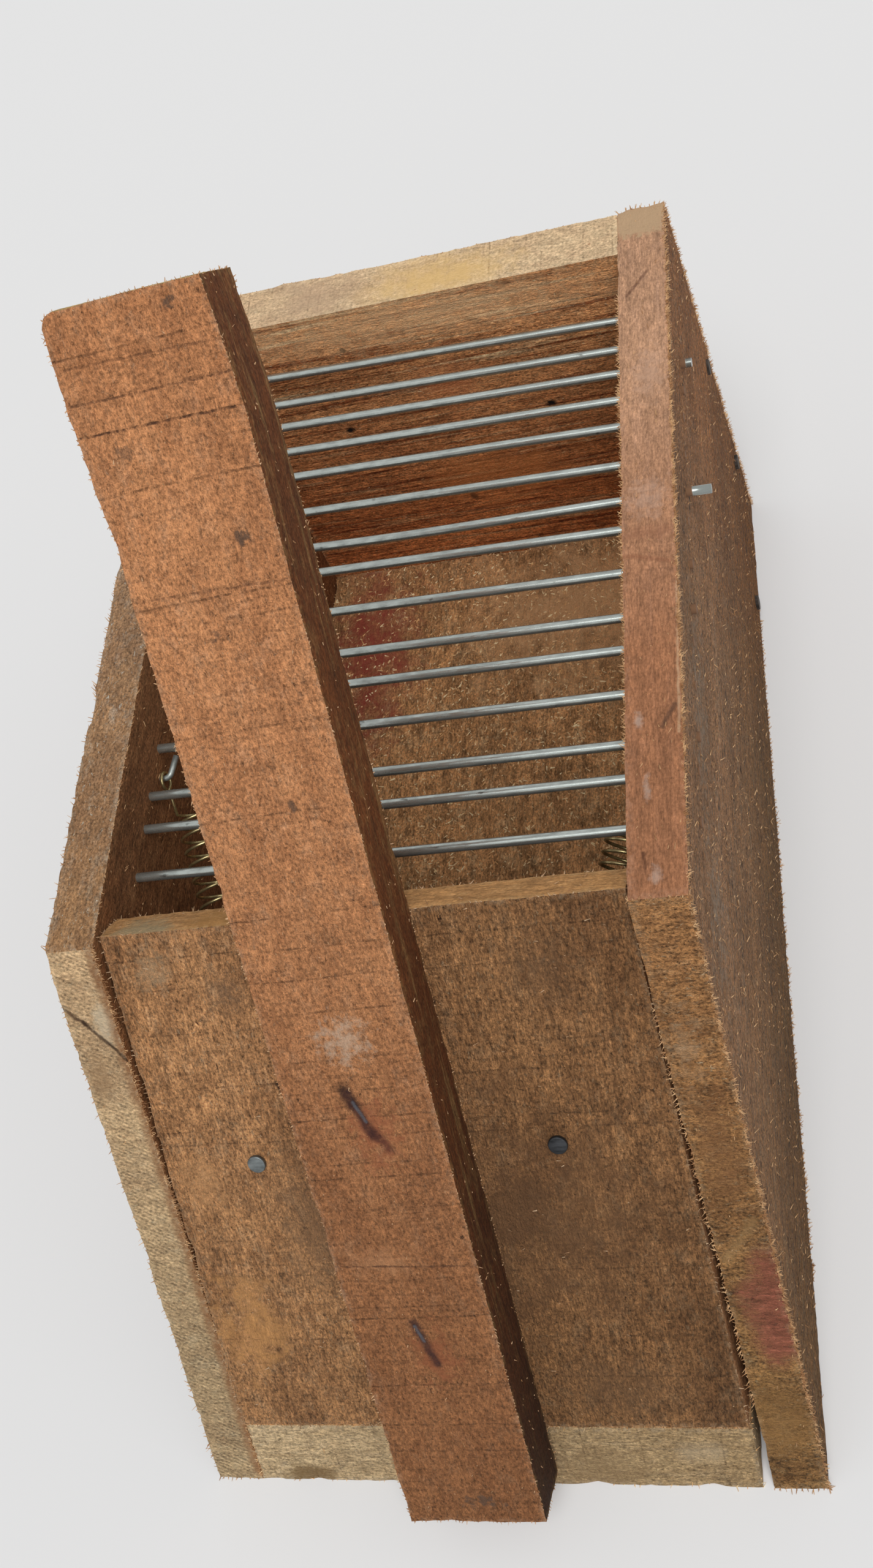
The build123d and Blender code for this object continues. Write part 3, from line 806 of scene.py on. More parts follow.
def outer_face(name, side, outer):
    """The weathered outer face of a side board."""
    marks = [
        spot((0.5, 0.4, 0.3), (66, -38, 84), (6, 18, 9), 0.5, 1.4, 0.8),
        spot((0.5, 0.4, 0.3), (66, 0, 92), (6, 26, 7), 0.45, 1.4, 0.8),
        spot(BLACK, (63.5, 82.7, 94.7), (3, 1.3, 1.0), 0.9, 0.3),
        spot(BLACK, (64, 35, 93.6), (3, 1.4, 1.1), 0.9, 0.3),
        spot(BLACK, (64, 23.1, 95), (3, 1.2, 1.0), 0.9, 0.3),
    ]
    # Painted shade: the first fade darkens the face towards its foot. The second makes the back end redder.
    return wood(
        f"{name} side outer", outer, tinted(outer, 0.6), (0.7, 0.52, 0.36), along=Y, marks=marks if side > 0 else (),
        fades=[(Z, 75, 15, (0.58, 0.55, 0.41)), (Y, 30, 95, (1.0, 0.84, 0.7))], blotch=0.8, mottle=1.0, streak=0.8,
        saw=0.05, fleck=1.0, pit=3.0, clump=1.45, grit=1.3, fuzz=1.2, bump=1.3,
    )


def back_top():
    """The back board's top edge."""
    marks = [
        spot((0.76, 0.5, 0.2), (8, 118, 108), (22, 9, 12), 0.8, 0.5, 0.8, 0.3),
        spot((0.5, 0.34, 0.22), (-22, 120, 108), (16, 12, 12), 0.6, 0.6, 0.8, 0.3),
    ]
    return wood(
        "back board top", BACK_CUT, (0.5, 0.32, 0.19), (0.9, 0.72, 0.46), across=Y, marks=marks, blotch=0.5,
        mottle=0.5, streak=0.2, saw=0.6, fleck=0.4, pit=0.4, clump=0.4, grit=0.7, fuzz=0.3, bump=0.5,
    )


def back_inner(inner):
    """The back board's inner face, with near-black spots, a paler top band and painted shade lower down."""
    marks = [
        spot(BLACK, (-26.9, 113, 69.4), (1.9, 4, 1.4), 1.0, 0.35, 0.6, 1.2),
        spot(BLACK, (25.5, 113, 66.4), (1.9, 4, 1.4), 1.0, 0.35, 0.6, 1.2),
        spot((0.03, 0.012, 0.008), (-3.3, 113, 37.3), (1.2, 4, 1.9), 0.9, 0.3, 0.5, 1.0),
        spot((0.03, 0.02, 0.01), (-19, 113, 96), (0.9, 4, 1.2), 0.8),
        # A paler top band: partly the wood's own colour, partly painted light where it falls in.
        spot((1.0, 0.66, 0.36), (0, 113, 102), (66, 6, 10), 0.5, 0.6, 0.8, 0.3),
        spot((0.9, 0.3, 0.12), (4, 113, 80), (12, 6, 12), 0.5, 0.8, 0.9, 0.2),
        spot((0.95, 0.34, 0.1), (10, 113, 45), (26, 6, 14), 0.5, 0.8, 0.9, 0.1),
    ]
    # Painted shade: the fade darkens the face lower down in the box.
    return wood(
        "back board inner", inner, (0.34, 0.105, 0.035), (1.0, 0.76, 0.44), marks=marks,
        fades=[(Z, 85, 35, (0.76, 0.56, 0.45))], blotch=0.4, mottle=0.4, streak=1.6, saw=0.9, turned=1.0, fleck=0.8,
        pit=0.7, clump=0.7, grit=1.0, fuzz=1.0, bump=0.8,
    )


def floor_top(base):
    """The floor board's upper face, red where the paint ran, and paler at the back right, partly painted light."""
    marks = [
        spot((0.4, 0.07, 0.05), (-39, 86, 12.5), (15, 34, 6), 0.85, 0.8, 0.8, 0.2),
        # Paler wood at the back right, partly painted light.
        spot((1.0, 0.57, 0.28), (28, 90, 12.5), (44, 32, 6), 0.6, 0.8, 0.8, 0.2),
    ]
    return wood(
        "floor top", base, tinted(base, 0.4), (0.95, 0.68, 0.38), along=Y, across=X, marks=marks, blotch=0.7,
        mottle=1.0, streak=0.3, saw=0.5, turned=1.0, fleck=1.0, pit=1.0, clump=0.8, grit=1.0, fuzz=0.8, bump=0.9,
    )


def floor_front(straw):
    """The floor board's front cut."""
    marks = [
        spot((0.22, 0.13, 0.05), (-41, -127, 1.5), (7, 8, 3), 0.8, 0.4),
        scratch((0.7, 0.56, 0.38), (43, -120, 6), (48, -120, 6.5), 4.0, 0.45, 0.8, 0.2),
        spot((0.3, 0.19, 0.09), (24, -127, 4), (14, 10, 8), 0.5, 0.6),
    ]
    return wood(
        "floor front cut", straw, tinted(straw, (0.6, 0.55, 0.5)), (0.68, 0.56, 0.4), marks=marks,
        fades=[(X, -50, 40, (0.68, 0.63, 0.56))], streak=0.4, saw=0.5, grit=0.9, fuzz=0.9, bump=0.9,
    )


def door_face(base, dark):
    """The door's face, with dirt where hands rub, and painted shade: the lever's shadow beside it, and darker towards
    the foot.
    """
    marks = [
        spot((0.26, 0.15, 0.08), on_door(-24, 50), (9, 20, 22), 0.55, 0.7, 0.8, 0.25),
        spot((0.24, 0.15, 0.09), on_door(-28, 104), (5, 6, 6), 0.5, 0.7, 0.8),
        spot((0.85, 0.42, 0.15), on_door(-43, 26), (8, 13, 14), 0.75, 1.2, 0.8, 0.25),
        spot((0.95, 0.5, 0.22), on_door(-44, 62), (6, 7, 8), 0.5, 1.2, 0.8),
        spot((0.7, 0.48, 0.28), on_door(-42, 110), (5, 5, 5), 0.5, 0.9, 0.8),
        # Painted shadow of the lever, to its right.
        spot((0.2, 0.1, 0.046), on_door(20, 50), (30, 26, 34), 0.75, 0.9, 0.9, 0.12),
        spot((0.2, 0.11, 0.055), on_door(32, 10), (16, 8, 9), 0.5, 0.7, 0.8, 0.3),
        spot((0.24, 0.13, 0.065), on_door(34, 104), (9, 10, 10), 0.4, 0.7, 0.8),
        scratch((0.05, 0.025, 0.015), on_door(-22.6, 83.5), on_door(-21.6, 80.8), 0.8, 0.95, 0.4, 0.0),
    ]
    # Painted shade: the fades darken the foot, and the right half, which is partly its own olive-brown wood and
    # partly the lever's painted shadow.
    return wood(
        "door face", base, dark, (0.8, 0.56, 0.34), along=door_up, across=X, marks=marks,
        fades=[(X, -20, 22, (0.59, 0.58, 0.55)), (Z, 80, 20, (0.78, 0.78, 0.76))], blotch=0.7, mottle=0.7,
        streak=0.15, saw=0.6, fleck=0.6, pit=1.1, clump=0.8, grit=1.15, fuzz=1.1, bump=1.1,
    )


def door_top():
    """The door's top edge."""
    marks = [
        spot((0.3, 0.27, 0.17), (-42, -46, 106), (8, 9, 9), 0.6, 0.4, 0.5),
        spot((0.4, 0.2, 0.06), (-28, -44, 106), (7, 9, 9), 0.6, 0.5, 0.6),
    ]
    return wood(
        "door top", (0.56, 0.29, 0.11), (0.38, 0.2, 0.08), (0.7, 0.48, 0.24), across=door_out, marks=marks,
        blotch=0.8, streak=0.6, saw=0.05, fleck=0.2, pit=0.3, grit=0.5, fuzz=0.4, bump=0.5,
    )


def lever_face(base, dark):
    """The lever's face: cracks where its nails are clenched, the nails' steel and its glint painted on, smudges, saw
    lines, and painted shade towards its foot.
    """
    # steel is a painted glint: the grey of a clenched nail and its highlight, painted on the wood where the nail
    # shows.
    steel, smudge = (0.17, 0.17, 0.19), (0.13, 0.085, 0.06)
    marks = [
        spot((0.78, 0.56, 0.4), on_lever(0.6, 111.5), (5, 5, 6), 0.65, 1.2, 0.8, 0.6),
        spot((0.46, 0.15, 0.065), on_lever(1.2, 92), (5.5, 8, 9), 0.7, 1.2, 0.8, 0.5),
        scratch((0.14, 0.04, 0.028), on_lever(1.4, 92.0), on_lever(3.6, 88.0), 1.5, 0.8, 1.8, 0.3),
        scratch((0.03, 0.014, 0.01), on_lever(-2.2, 101.8), on_lever(-0.8, 98.0), 1.9, 0.85, 1.6, 0.3),
        scratch((0.07, 0.025, 0.022), on_lever(-1.6, 100.5), on_lever(1.2, 91.0), 1.5, 0.9, 1.5, 0.2),
        # Painted glint of the upper nail's steel.
        scratch(steel, on_lever(-0.9, 98.6), on_lever(0.6, 94.4), 0.5, 0.8, 0.4, 0.2),
        spot((0.4, 0.13, 0.055), on_lever(0.8, 41.5), (5, 7, 8), 0.7, 1.2, 0.8, 0.5),
        scratch((0.06, 0.025, 0.024), on_lever(-1.5, 49.3), on_lever(1.0, 39.5), 1.4, 0.9, 1.3, 0.2),
        # Painted glint of the lower nail's steel.
        scratch(steel, on_lever(-1.4, 48.6), on_lever(-0.4, 45.0), 0.5, 0.8, 0.4, 0.2),
    ]
    # Where each smudge lies across and up the lever, its size, strength and raggedness.
    for across, up, size, strength, ragged in (
        (6.4, 240.5, (1.2, 1.3, 1.6), 0.8, 1.4), (-7.5, 220, (1.3, 1.4, 1.8), 0.55, 1.6),
        (7.9, 203, (1.5, 1.3, 1.5), 0.8, 1.4), (-1.4, 187.5, (1.0, 1.3, 1.6), 0.6, 1.4),
        (3.5, 157, (1.1, 1.1, 1.1), 0.7, 1.2), (2.0, 5.5, (4.0, 1.4, 1.8), 0.7, 1.8),
    ):
        marks.append(spot(smudge, on_lever(across, up), size, strength, ragged))
    marks.append(spot((0.74, 0.36, 0.17), on_lever(-4, 64), (8, 4, 5), 0.45, 1.2, 0.8))
    # Where each saw line crosses the left and the right arris, and how strong it is.
    for left, right, strength in (
        (223.6, 223.2, 1.0), (228.6, 228.5, 0.75), (234.4, 233.6, 0.55), (196.0, 195.2, 0.6), (63.0, 61.6, 0.8),
    ):
        ends = on_lever(-LEVER_HALF, left), on_lever(LEVER_HALF, right)
        marks.append(scratch((0.15, 0.065, 0.035), *ends, 0.3, strength, 0.55, 0.75))
    # Painted shade: the face darkens towards its foot, where less light falls. It also darkens a little towards its
    # tip.
    fades = [(Z, 150, 75, (0.57, 0.55, 0.52)), (Z, 75, 10, (0.76, 0.74, 0.7)), (Z, 155, 215, (0.86, 0.82, 0.79))]
    return wood(
        "lever face", base, dark, (0.88, 0.55, 0.34), along=lever_up, across=lever_across, marks=marks, fades=fades,
        blotch=0.5, streak=0.15, saw=0.75, fleck=0.35, pit=0.8, clump=0.45, grit=0.95, bump=1.1,
    )


def lever_side():
    """The lever's sides, with a torn pale corner at the tip, and painted shade that darkens them strongly towards the
    foot.
    """
    brown = (0.165, 0.052, 0.0145)
    corner_end = on_lever(LEVER_HALF, 243.6)
    # Painted shade: the fade darkens the sides towards the foot.
    return wood(
        "lever side", brown, tinted(brown, 0.6), (0.42, 0.26, 0.1), along=lever_up, across=door_out,
        marks=[scratch((0.85, 0.6, 0.2), corner_end, corner_end - door_out * 14, 1.6, 0.95, 1.4, 0.1)],
        fades=[(Z, 110, 15, (0.24, 0.24, 0.2))], streak=1.0, saw=0.05, fleck=0.2, clump=0.4,
        grit=0.6, fuzz=0.8,
    )


# ---- Operators ----


class TRAP_OT_side_boards(bpy.types.Operator):
    """Makes the two side boards"""

    bl_idname = "trap.side_boards"
    bl_label = "Side Boards"

    def execute(self, context):
        self.make("left", -1, {})
        # The right board is a little warped: millimetres at three of its arrises.
        self.make("right", 1, {(-1, 1): (-0.45, 0, 0), (-1, -1): (0.9, 0, 0), (1, -1): (-0.6, 0, 0)})
        return {"FINISHED"}

    def make(self, name, side, nudges):
        sizes, colours = settings()
        inner = tuple(colours.inner)
        node, axes = f"{name}_side_board", (Y, Z, X)
        pale_inner = (0.6, 0.32, 0.14)
        faces = [
            sloping_cut(side, tuple(colours.straw)),
            wood(f"{name} side back cut", (0.5, 0.35, 0.2), (0.35, 0.22, 0.12), weave=1.0, streak=0.1),
            wood(f"{name} side underside", inner, tinted(inner, 0.7), along=Y, across=X),
            top_edge(side, tuple(colours.rose)),
            wood(
                f"{name} side inner", inner, tinted(inner, 0.6), pale_inner, along=Y, streak=0.5, saw=0.1, fleck=0.6,
                pit=0.4, grit=0.9,
            ),
            outer_face(name, side, tuple(colours.outer)),
        ]
        if side < 0:
            faces[4], faces[5] = faces[5], faces[4]
        torn = fibre_wood(f"{name} side fibres", (0.42, 0.22, 0.1), (0.72, 0.46, 0.24))
        find = cad_corner(node, axes, nudges)
        make_board(
            node, "case", "board_wood", axes, faces, torn, 3 + side, sizes.fibres * (2 + side), find=find,
            relief=1.5, wear=1.3, length=(0.4, 1.7),
        )
        arrises = {"front": ((-1, 1, 1), (-1, -1, 1), door_out)}
        if side > 0:
            arrises |= {"top": ((-1, 1, 1), (1, 1, 1), Z), "back": ((1, 1, 1), (1, -1, 1), Y)}
        for label, (start, end, out) in arrises.items():
            self.fray(f"{name}_{label}_fray", torn, find(start), find(end), out, sizes.fibres // 2)

    def fray(self, name, torn, start, end, out, count):
        """Frays an arris. Fibres lean out to the right and out of the face."""
        rng = random.Random(name)
        runs = []
        for _ in range(count):
            at = start.lerp(end, rng.random())
            at = at - (X * rng.uniform(0, FRAY_DEPTH) + out * rng.uniform(0, FRAY_DEPTH)) * MM
            way = (X * rng.uniform(0.3, 1) + out * rng.uniform(0, 0.7) + random_unit(rng) * 0.5).normalized()
            runs.append((at, way, rng.uniform(*FRAY_LONG) * MM, rng.uniform(*FRAY_THICK) * MM))
        finish_piece(slivers(runs), name, "case", [torn], smooth=False)


class TRAP_OT_back_board(bpy.types.Operator):
    """Makes the back board"""

    bl_idname = "trap.back_board"
    bl_label = "Back Board"

    def execute(self, context):
        sizes, colours = settings()
        inner, outer = (1.0, 0.47, 0.19), tuple(colours.outer)
        end = wood("back board end cut", BACK_CUT, tinted(BACK_CUT, 0.7), along=Z, across=Y)
        under = wood("back board underside", inner, tinted(inner, 0.6), across=Y)
        out = wood("back board outer", outer, tinted(outer, 0.6), streak=0.7, fuzz=0.8, grit=1.0, pit=0.7, bump=1.1)
        make_board(
            "back_board", "case", "board_wood", (X, Z, Y), [end, end, under, back_top(), back_inner(inner), out],
            fibre_wood("back fibres", (0.4, 0.2, 0.1), (0.66, 0.46, 0.28)), 11, sizes.fibres // 2, relief=1.3,
        )
        return {"FINISHED"}


class TRAP_OT_floor_board(bpy.types.Operator):
    """Makes the floor board and the sawdust on it"""

    bl_idname = "trap.floor_board"
    bl_label = "Floor Board"

    def execute(self, context):
        sizes, _ = settings()
        base, straw = (0.76, 0.385, 0.16), (0.76, 0.56, 0.32)
        side = wood("floor side cut", tinted(straw, 0.6), tinted(straw, 0.4), along=Y)
        under = wood("floor underside", tinted(base, 1.1), tinted(base, 0.7), along=Y, across=X, saw=0.5)
        back = wood("floor back cut", straw, tinted(straw, 0.7), weave=1.0)
        dust = fibre_wood("sawdust", (0.85, 0.5, 0.22), (1.0, 0.82, 0.5))
        make_board(
            "floor_board", "case", "board_wood", (Y, Z, X),
            [floor_front(straw), back, under, floor_top(base), side, side], dust, 17, sizes.fibres // 2, wear=1.6,
        )
        rng = random.Random(5)
        chips = []
        low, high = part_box("floor_board")
        # Dust lies off the ends, off the door's foot in front, and a little above the wood.
        end_room, foot_room, lift = 1 * MM, 16 * MM, 0.08 * MM
        for _ in range(sizes.chips):
            x = rng.uniform(low[0] + end_room, high[0] - end_room)
            y = rng.uniform(low[1] + foot_room, high[1] - end_room)
            flat = Vector((rng.uniform(-1, 1), rng.uniform(-1, 1), rng.uniform(-0.15, 0.35))).normalized()
            long = rng.uniform(*DUST_LONG) * MM * rng.uniform(0.4, 1)
            chips.append((Vector((x, y, high[2] + lift)), flat, long, rng.uniform(*DUST_THICK) * MM))
        finish_piece(slivers(chips), "sawdust", "case", [dust], smooth=False)
        return {"FINISHED"}


class TRAP_OT_door_board(bpy.types.Operator):
    """Makes the door board"""

    bl_idname = "trap.door_board"
    bl_label = "Door Board"

    def execute(self, context):
        sizes, colours = settings()
        dark = tuple(colours.door_dark)
        edge = wood("door side cut", dark, tinted(dark, 0.6), along=door_up, across=door_out)
        inner = wood("door inner", dark, tinted(dark, 0.7), across=door_up)
        faces = [edge, edge, inner, door_top(), inner, door_face(tuple(colours.door), dark)]
        torn = fibre_wood("door fibres", (0.36, 0.2, 0.1), (0.6, 0.42, 0.26))
        make_board(
            "door_board", "door", "door_wood", (X, door_up, door_out), faces, torn, 23, sizes.fibres // 2
        )
        return {"FINISHED"}


class TRAP_OT_lever(bpy.types.Operator):
    """Makes the setting lever"""

    bl_idname = "trap.lever"
    bl_label = "Lever"

    def execute(self, context):
        sizes, colours = settings()
        dark, straw = tuple(colours.lever_dark), (0.6, 0.4, 0.14)
        end = wood("lever end cut", straw, tinted(straw, 0.6), along=lever_across, across=door_out, weave=0.6)
        foot = wood("lever foot cut", (0.2, 0.09, 0.04), (0.12, 0.05, 0.02), along=lever_across, across=door_out)
        under = wood("lever underside", dark, tinted(dark, 0.6), along=lever_up, across=lever_across)
        side = lever_side()
        faces = [foot, end, side, side, under, lever_face(tuple(colours.lever), dark)]
        make_board(
            "lever_bar", "door", "lever_wood", (lever_up, lever_across, door_out), faces,
            fibre_wood("lever fibres", (0.42, 0.22, 0.1), (0.66, 0.42, 0.24)), 31, sizes.fibres,
            cell=sizes.lever_cell, find=lever_corner, shape=self.shape_tip, length=(0.25, 0.9),
        )
        return {"FINISHED"}

    def shape_tip(self, bm):
        """Rounds the tip's left corner, squares about its centre become circles, then sways
        the tip to the left, its right arris the most."""
        sizes, _ = settings()
        radius = sizes.lever_round
        centre = lever_corner((1, -1, 1)) + (lever_across - lever_up) * radius
        for vert in bm.verts:
            off = vert.co - centre
            left, up = -off.dot(lever_across), off.dot(lever_up)
            if left > 0 and up > 0:
                scale = max(left, up) / math.hypot(left, up)
                vert.co += (lever_across * left - lever_up * up) * (1 - scale)
        # How far each arris sways, where its sway starts and how far up it grows, in millimetres.
        left_most, left_start, left_run = 1.15, 206, 22
        right_rise, right_start, right_run, right_power = 0.9, 222, 14, 1.3
        for vert in bm.verts:
            up = (vert.co - lever_foot).dot(lever_up) / MM
            aside = 0.5 + (vert.co - lever_foot).dot(lever_across) / (LEVER_WIDTH * MM)
            left_sway = left_most * min(1.0, max(0.0, (up - left_start) / left_run))
            right_sway = right_rise * max(0.0, (up - right_start) / right_run) ** right_power
            vert.co -= lever_across * (left_sway * (1 - aside) + right_sway * aside) * MM


class TRAP_OT_bars(bpy.types.Operator):
    """Finishes the bars, the pins and the side nails, and bows one bar"""

    bl_idname = "trap.bars"
    bl_label = "Bars"

    def execute(self, context):
        sizes, colours = settings()
        zinc, rusty = tuple(colours.zinc), tinted(tuple(colours.steel), (0.5, 0.4, 0.32))
        hidden = (0.2, 0.105, 0.055)
        bars = wire_metal("galvanised bars", zinc, tinted(zinc, 0.6), roughness=0.14, pits=0.6, buried=hidden)
        nails = wire_metal("dark nails", rusty, tinted(rusty, 0.4), roughness=0.75)
        metals = {"bar_wire": bars, "side_nails": nails, "door_pivot_pin": nails}
        for name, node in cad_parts.items():
            for kind, metal in metals.items():
                if name.startswith(kind):
                    node.data.materials.clear()
                    node.data.materials.append(metal)
        left, right = end_centre("bar_wire_09", -X), end_centre("bar_wire_09", X)
        # The bow ends a little short of the right end.
        run, steps, bow_share = [], 24, 1.1
        for step in range(steps + 1):
            share = step / steps
            bowed = math.sin(math.pi * min(1, share * bow_share)) ** 2
            run.append(left + (right - left) * share - Y * sizes.bow * bowed)
        bm = swept_wire(run, sizes.bar / 2, sides=14)
        finish_piece(bm, "bowed_bar", "case", [bars], ("bar_wire_09",))
        return {"FINISHED"}


def hook_run(side, name):
    """A wall hook's root on the board's face, its bend and its tip, from its CAD node."""
    sizes, _ = settings()
    node = f"wall_hook_{name}"
    inwards = X * -side
    tail = end_centre(node, -inwards)
    root = tail + inwards * sizes.hook_bore
    bend = root + inwards * sizes.hook_reach
    toward_tip = (Y * 4.8 + Z + inwards * 1.2).normalized()
    return tail, root, bend, end_centre(node, toward_tip, 0.3 * MM), inwards


def nail_run(node, outwards):
    """A bent nail's head and bend, from its CAD node."""
    sizes, _ = settings()
    head = end_centre(node, -outwards)
    reach = max(p.dot(outwards) for p in cad_points(node)) - sizes.nail / 2
    return head, head + outwards * (reach - head.dot(outwards))


class TRAP_OT_hooks(bpy.types.Operator):
    """Bends the wall hooks"""

    bl_idname = "trap.hooks"
    bl_label = "Wall Hooks"

    def execute(self, context):
        sizes, colours = settings()
        zinc = tuple(colours.zinc)
        metal = wire_metal("galvanised hooks", zinc, tinted(zinc, 0.6))
        for side, name in ((-1, "left"), (1, "right")):
            tail, _, bend, tip, _ = hook_run(side, name)
            bm = swept_wire(rounded([tail, bend, tip], 1.2 * MM), sizes.hook / 2)
            finish_piece(bm, f"{name}_hook", "case", [metal], (f"wall_hook_{name}",))
        return {"FINISHED"}


class TRAP_OT_springs(bpy.types.Operator):
    """Winds the door springs"""

    bl_idname = "trap.springs"
    bl_label = "Door Springs"

    def execute(self, context):
        sizes, colours = settings()
        brass = tuple(colours.brass)
        metal = wire_metal("spring wire", brass, tinted(brass, 0.4), roughness=0.2, pits=0.5)
        for side, name in ((-1, "left"), (1, "right")):
            points, start, end = self.run(side, name, sizes)
            bm = swept_wire(points, sizes.spring_wire / 2, sides=8)
            made = finish_piece(bm, f"{name}_spring", None, [metal], (f"door_spring_{name}",))
            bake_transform(made, "case", "door", start=start, end=end)
        return {"FINISHED"}

    def run(self, side, name, sizes):
        """A spring's wire: eye on the wall hook, leg, coil, leg, eye on the door's nail."""
        # Millimetres: the lower eye's seat on the nail, the upper eye's on the hook, how much shorter
        # the lower leg is, and where the coil's axis starts from the hook's root.
        nail_seat, hook_seat, leg_cut, beside, behind, below = 1.4, 1.0, 1.2, 4.6, 1.1, 2.7
        steps_round = 24
        _, root, _, _, inwards = hook_run(side, name)
        _, bend = nail_run(f"spring_nail_{name}", -door_out)
        seat = bend + door_out * nail_seat * MM
        top = root + inwards * beside * MM + Y * behind * MM - Z * below * MM
        pull = (seat - top).normalized()
        foot = seat - pull * (sizes.eye - (sizes.nail + sizes.spring_wire) / 2 - sizes.play)
        side_way = (inwards - pull * inwards.dot(pull)).normalized()
        third = pull.cross(side_way)
        skip = sizes.eye + sizes.leg
        long = (foot - top).length - 2 * skip
        radius = (sizes.coil - sizes.spring_wire) / 2
        turns = []
        steps = sizes.coil_turns * steps_round
        for step in range(steps + 1):
            angle = math.pi + 2 * math.pi * step / steps_round
            turn = side_way * math.cos(angle) + third * math.sin(angle)
            turns.append(top + pull * (skip + long * step / steps) + turn * radius)
        hung = root + inwards * hook_seat * MM
        leg = (turns[0] - hung).normalized()
        ring = hung + leg * (sizes.eye - (sizes.hook + sizes.spring_wire) / 2 - sizes.play)
        upper = self.eye(ring, leg, inwards.cross(leg).normalized(), sizes.eye)
        lower = self.eye(foot, -pull, door_out.cross(-pull).normalized(), sizes.eye)
        points = upper + turns + [foot - pull * (skip - leg_cut * MM)] + lower[::-1]
        return points, top + pull * skip, foot - pull * skip

    def eye(self, centre, leg, across, radius):
        """An end eye's ring, from its free end round to the leg."""
        run, steps, step_angle = [], 22, math.radians(15)
        for step in range(steps, -1, -1):
            angle = step * step_angle
            run.append(centre + leg * radius * math.cos(angle) + across * radius * math.sin(angle))
        return run


class TRAP_OT_door_nails(bpy.types.Operator):
    """Bends the nails of the door and the lever"""

    bl_idname = "trap.door_nails"
    bl_label = "Door Nails"

    def execute(self, context):
        _, colours = settings()
        steel = tuple(colours.steel)
        bright = wire_metal("bright nail", (0.22, 0.24, 0.24), (0.07, 0.08, 0.08), roughness=0.35)
        dark = wire_metal("dark nail", tinted(steel, 0.24), tinted(steel, 0.08), roughness=0.4)
        for name, metal in (("left", bright), ("right", dark)):
            node = f"spring_nail_{name}"
            head, bend = nail_run(node, -door_out)
            tip = bend - door_up * (bend - end_centre(node, -door_up)).dot(door_up)
            self.bend(node, head, bend, tip, metal)
        # The clenched end is hammered into the wood, and only its middle shows.
        tip_share, tip_sunk, bend_sunk = 0.8, 1.9 * MM, 0.9 * MM
        for name in ("upper", "lower"):
            node = f"lever_nail_{name}"
            head, bend = nail_run(node, door_out)
            tip = end_centre(node, -lever_up, 0.6 * MM)
            tip += door_out * (bend - tip).dot(door_out)
            tip = bend + (tip - bend) * tip_share - door_out * tip_sunk
            self.bend(node, head, bend - door_out * bend_sunk, tip, dark)
        return {"FINISHED"}

    def bend(self, node, head, bend, tip, metal):
        """One bent nail: a headed shank whose end is turned over."""
        sizes, _ = settings()
        thick, inside, bend_radius, rim = 0.9 * MM, 0.4 * MM, 1.6 * MM, 0.2 * MM
        way = (bend - head).normalized()
        bm = swept_wire(rounded([head + way * inside, bend, tip], bend_radius), sizes.nail / 2)
        disc, radius = bmesh.new(), sizes.nail_head / 2
        place = Matrix.Translation(head + way * thick / 2) @ facing(way)
        bmesh.ops.create_cone(
            disc, cap_ends=True, segments=24, radius1=radius, radius2=radius, depth=thick, matrix=place
        )
        rims = [e for e in disc.edges if abs((e.verts[0].co - e.verts[1].co).dot(way)) < thick / 10]
        bmesh.ops.bevel(disc, geom=rims, offset=rim, segments=2, profile=0.5, affect="EDGES", material=-1)
        join_mesh(bm, disc)
        finish_piece(bm, node + "_bent", "door", [metal], (node,))


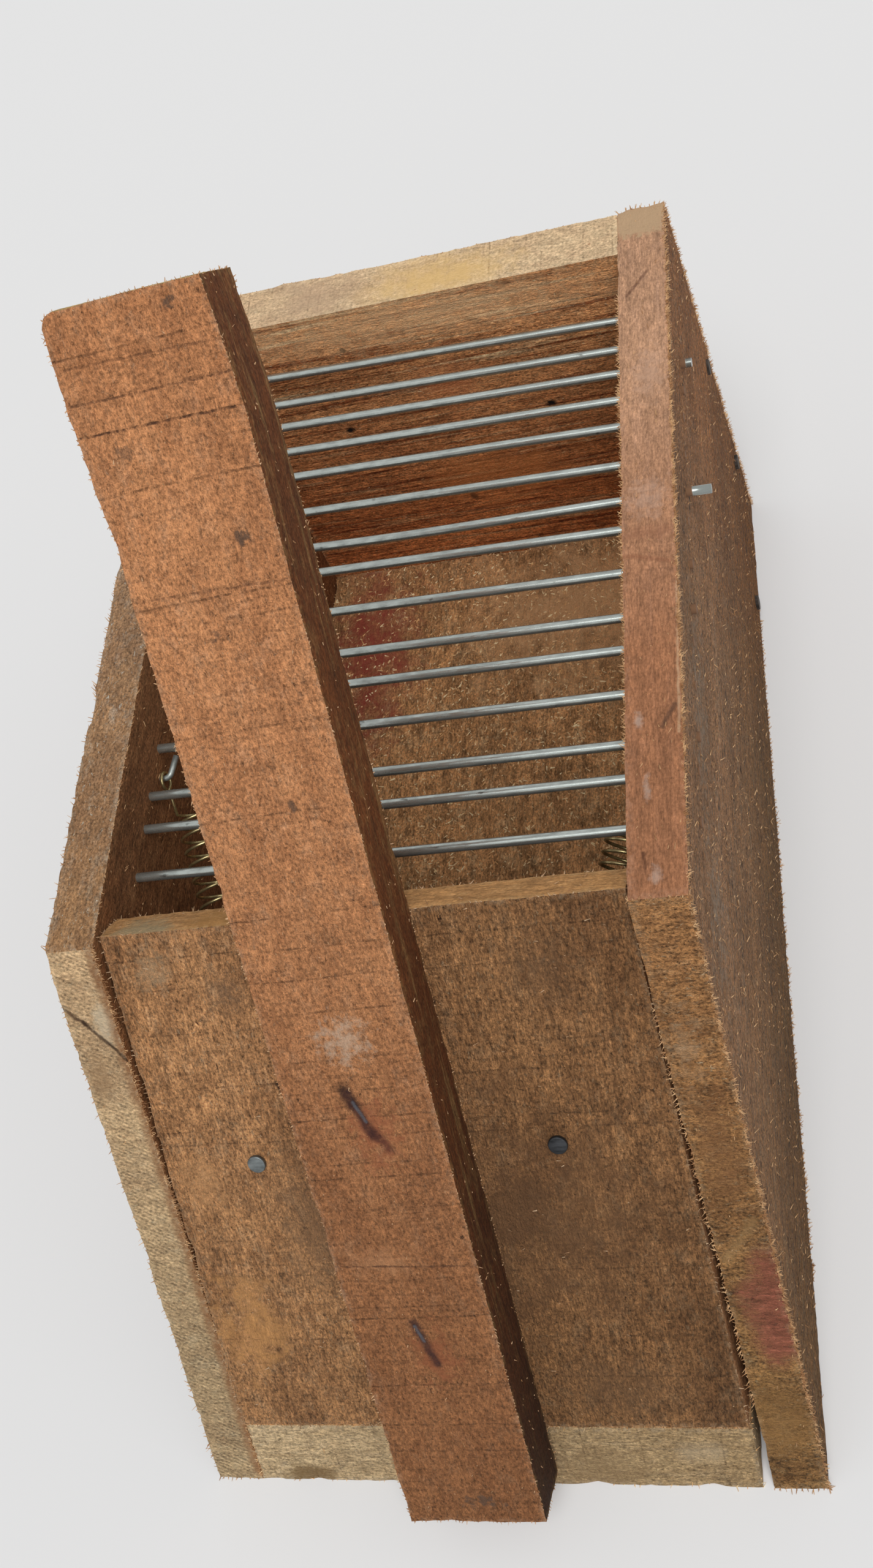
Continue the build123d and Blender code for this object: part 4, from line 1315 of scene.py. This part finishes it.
class TRAP_OT_stage(bpy.types.Operator):
    """Sets the floor, the lamps, the world and the camera"""

    bl_idname = "trap.stage"
    bl_label = "Stage"

    def execute(self, context):
        _, colours = settings()
        ground, ground_size = tuple(colours.ground), 20.0
        bm = bmesh.new()
        bmesh.ops.create_grid(bm, x_segments=1, y_segments=1, size=ground_size)
        mesh = bpy.data.meshes.new("ground")
        bm.to_mesh(mesh)
        bm.free()
        made, _, shader = new_material("ground")
        fill(shader, Base_Color=ground, Roughness=1.0, Specular_IOR_Level=0.0)
        mesh.materials.append(made)
        place_object("ground", mesh)
        self.world(context, ground, 0.54)
        self.sun(Vector((0.18, -0.38, 0.9)), 2.01, 40)
        self.camera(context, 36.553, Vector((103.7, -169.0, 351.2)) * MM, (30.22, 54.5, -32.03))
        context.scene.view_settings.view_transform = "Standard"
        return {"FINISHED"}

    def world(self, context, ground, strength):
        """Soft light all round. The eye and shiny metal see it as bright as the ground."""
        world = bpy.data.worlds.new("soft light")
        world.use_nodes = True
        tree = world.node_tree
        tree.nodes.clear()
        rays = add_node(tree, "ShaderNodeLightPath")
        seen = maths("MAXIMUM", Value(rays, "Is Camera Ray"), Value(rays, "Is Glossy Ray"))
        seen = maths("MAXIMUM", seen, Value(rays, "Is Transmission Ray"))
        light = add_node(tree, "ShaderNodeBackground", Color=ground, Strength=ramp(seen, 0.0, 1.0, strength, 1.0))
        add_node(tree, "ShaderNodeOutputWorld", Surface=Value(light))
        context.scene.world = world

    def sun(self, way, strength, spread):
        """A wide sun, from a direction. Its spread is in degrees."""
        data = bpy.data.lights.new("window", "SUN")
        data.energy = strength
        data.angle = math.radians(spread)
        place_object("window", data).rotation_euler = way.to_track_quat("Z", "Y").to_euler()

    def camera(self, context, lens, at, degrees):
        """The camera, from its lens in millimetres, its place, and its azimuth, height and roll."""
        azimuth, height, roll = (math.radians(a) for a in degrees)
        back = Vector((math.sin(azimuth) * math.cos(height), -math.cos(azimuth) * math.cos(height), math.sin(height)))
        right = Z.cross(back).normalized()
        up = back.cross(right)
        rolled = right * math.cos(roll) + up * math.sin(roll), up * math.cos(roll) - right * math.sin(roll), back
        data = bpy.data.cameras.new("camera")
        data.lens = lens
        data.sensor_width = 36.0
        data.clip_start = 0.01
        made = place_object("camera", data)
        made.matrix_world = Matrix.Translation(at) @ Matrix(rolled).transposed().to_4x4()
        context.scene.camera = made


class TRAP_PT_panel(bpy.types.Panel):
    """Lists the trap's pieces"""

    bl_label = "Box Trap"
    bl_idname = "TRAP_PT_panel"
    bl_space_type = "VIEW_3D"
    bl_region_type = "UI"
    bl_category = "Box Trap"

    def draw(self, context):
        for group in (context.scene.trap_sizes, context.scene.trap_colours):
            for name in group.bl_rna.properties.keys():
                if name not in ("rna_type", "name"):
                    self.layout.prop(group, name)
        for operator in OPERATORS:
            self.layout.operator(operator.bl_idname)


OPERATORS = (
    TRAP_OT_stage,
    TRAP_OT_side_boards,
    TRAP_OT_back_board,
    TRAP_OT_floor_board,
    TRAP_OT_door_board,
    TRAP_OT_lever,
    TRAP_OT_bars,
    TRAP_OT_hooks,
    TRAP_OT_springs,
    TRAP_OT_door_nails,
)
CLASSES = (TrapSizes, TrapColours, *OPERATORS, TRAP_PT_panel)


def register():
    for item in CLASSES:
        bpy.utils.register_class(item)
    bpy.types.Scene.trap_sizes = PointerProperty(type=TrapSizes)
    bpy.types.Scene.trap_colours = PointerProperty(type=TrapColours)


def unregister():
    del bpy.types.Scene.trap_sizes
    del bpy.types.Scene.trap_colours
    for item in reversed(CLASSES):
        bpy.utils.unregister_class(item)


def main():
    register()
    bpy.ops.trap.stage()
    bpy.ops.trap.side_boards()
    bpy.ops.trap.back_board()
    bpy.ops.trap.floor_board()
    bpy.ops.trap.door_board()
    bpy.ops.trap.lever()
    bpy.ops.trap.bars()
    bpy.ops.trap.hooks()
    bpy.ops.trap.springs()
    bpy.ops.trap.door_nails()


if __name__ == "__main__":
    main()
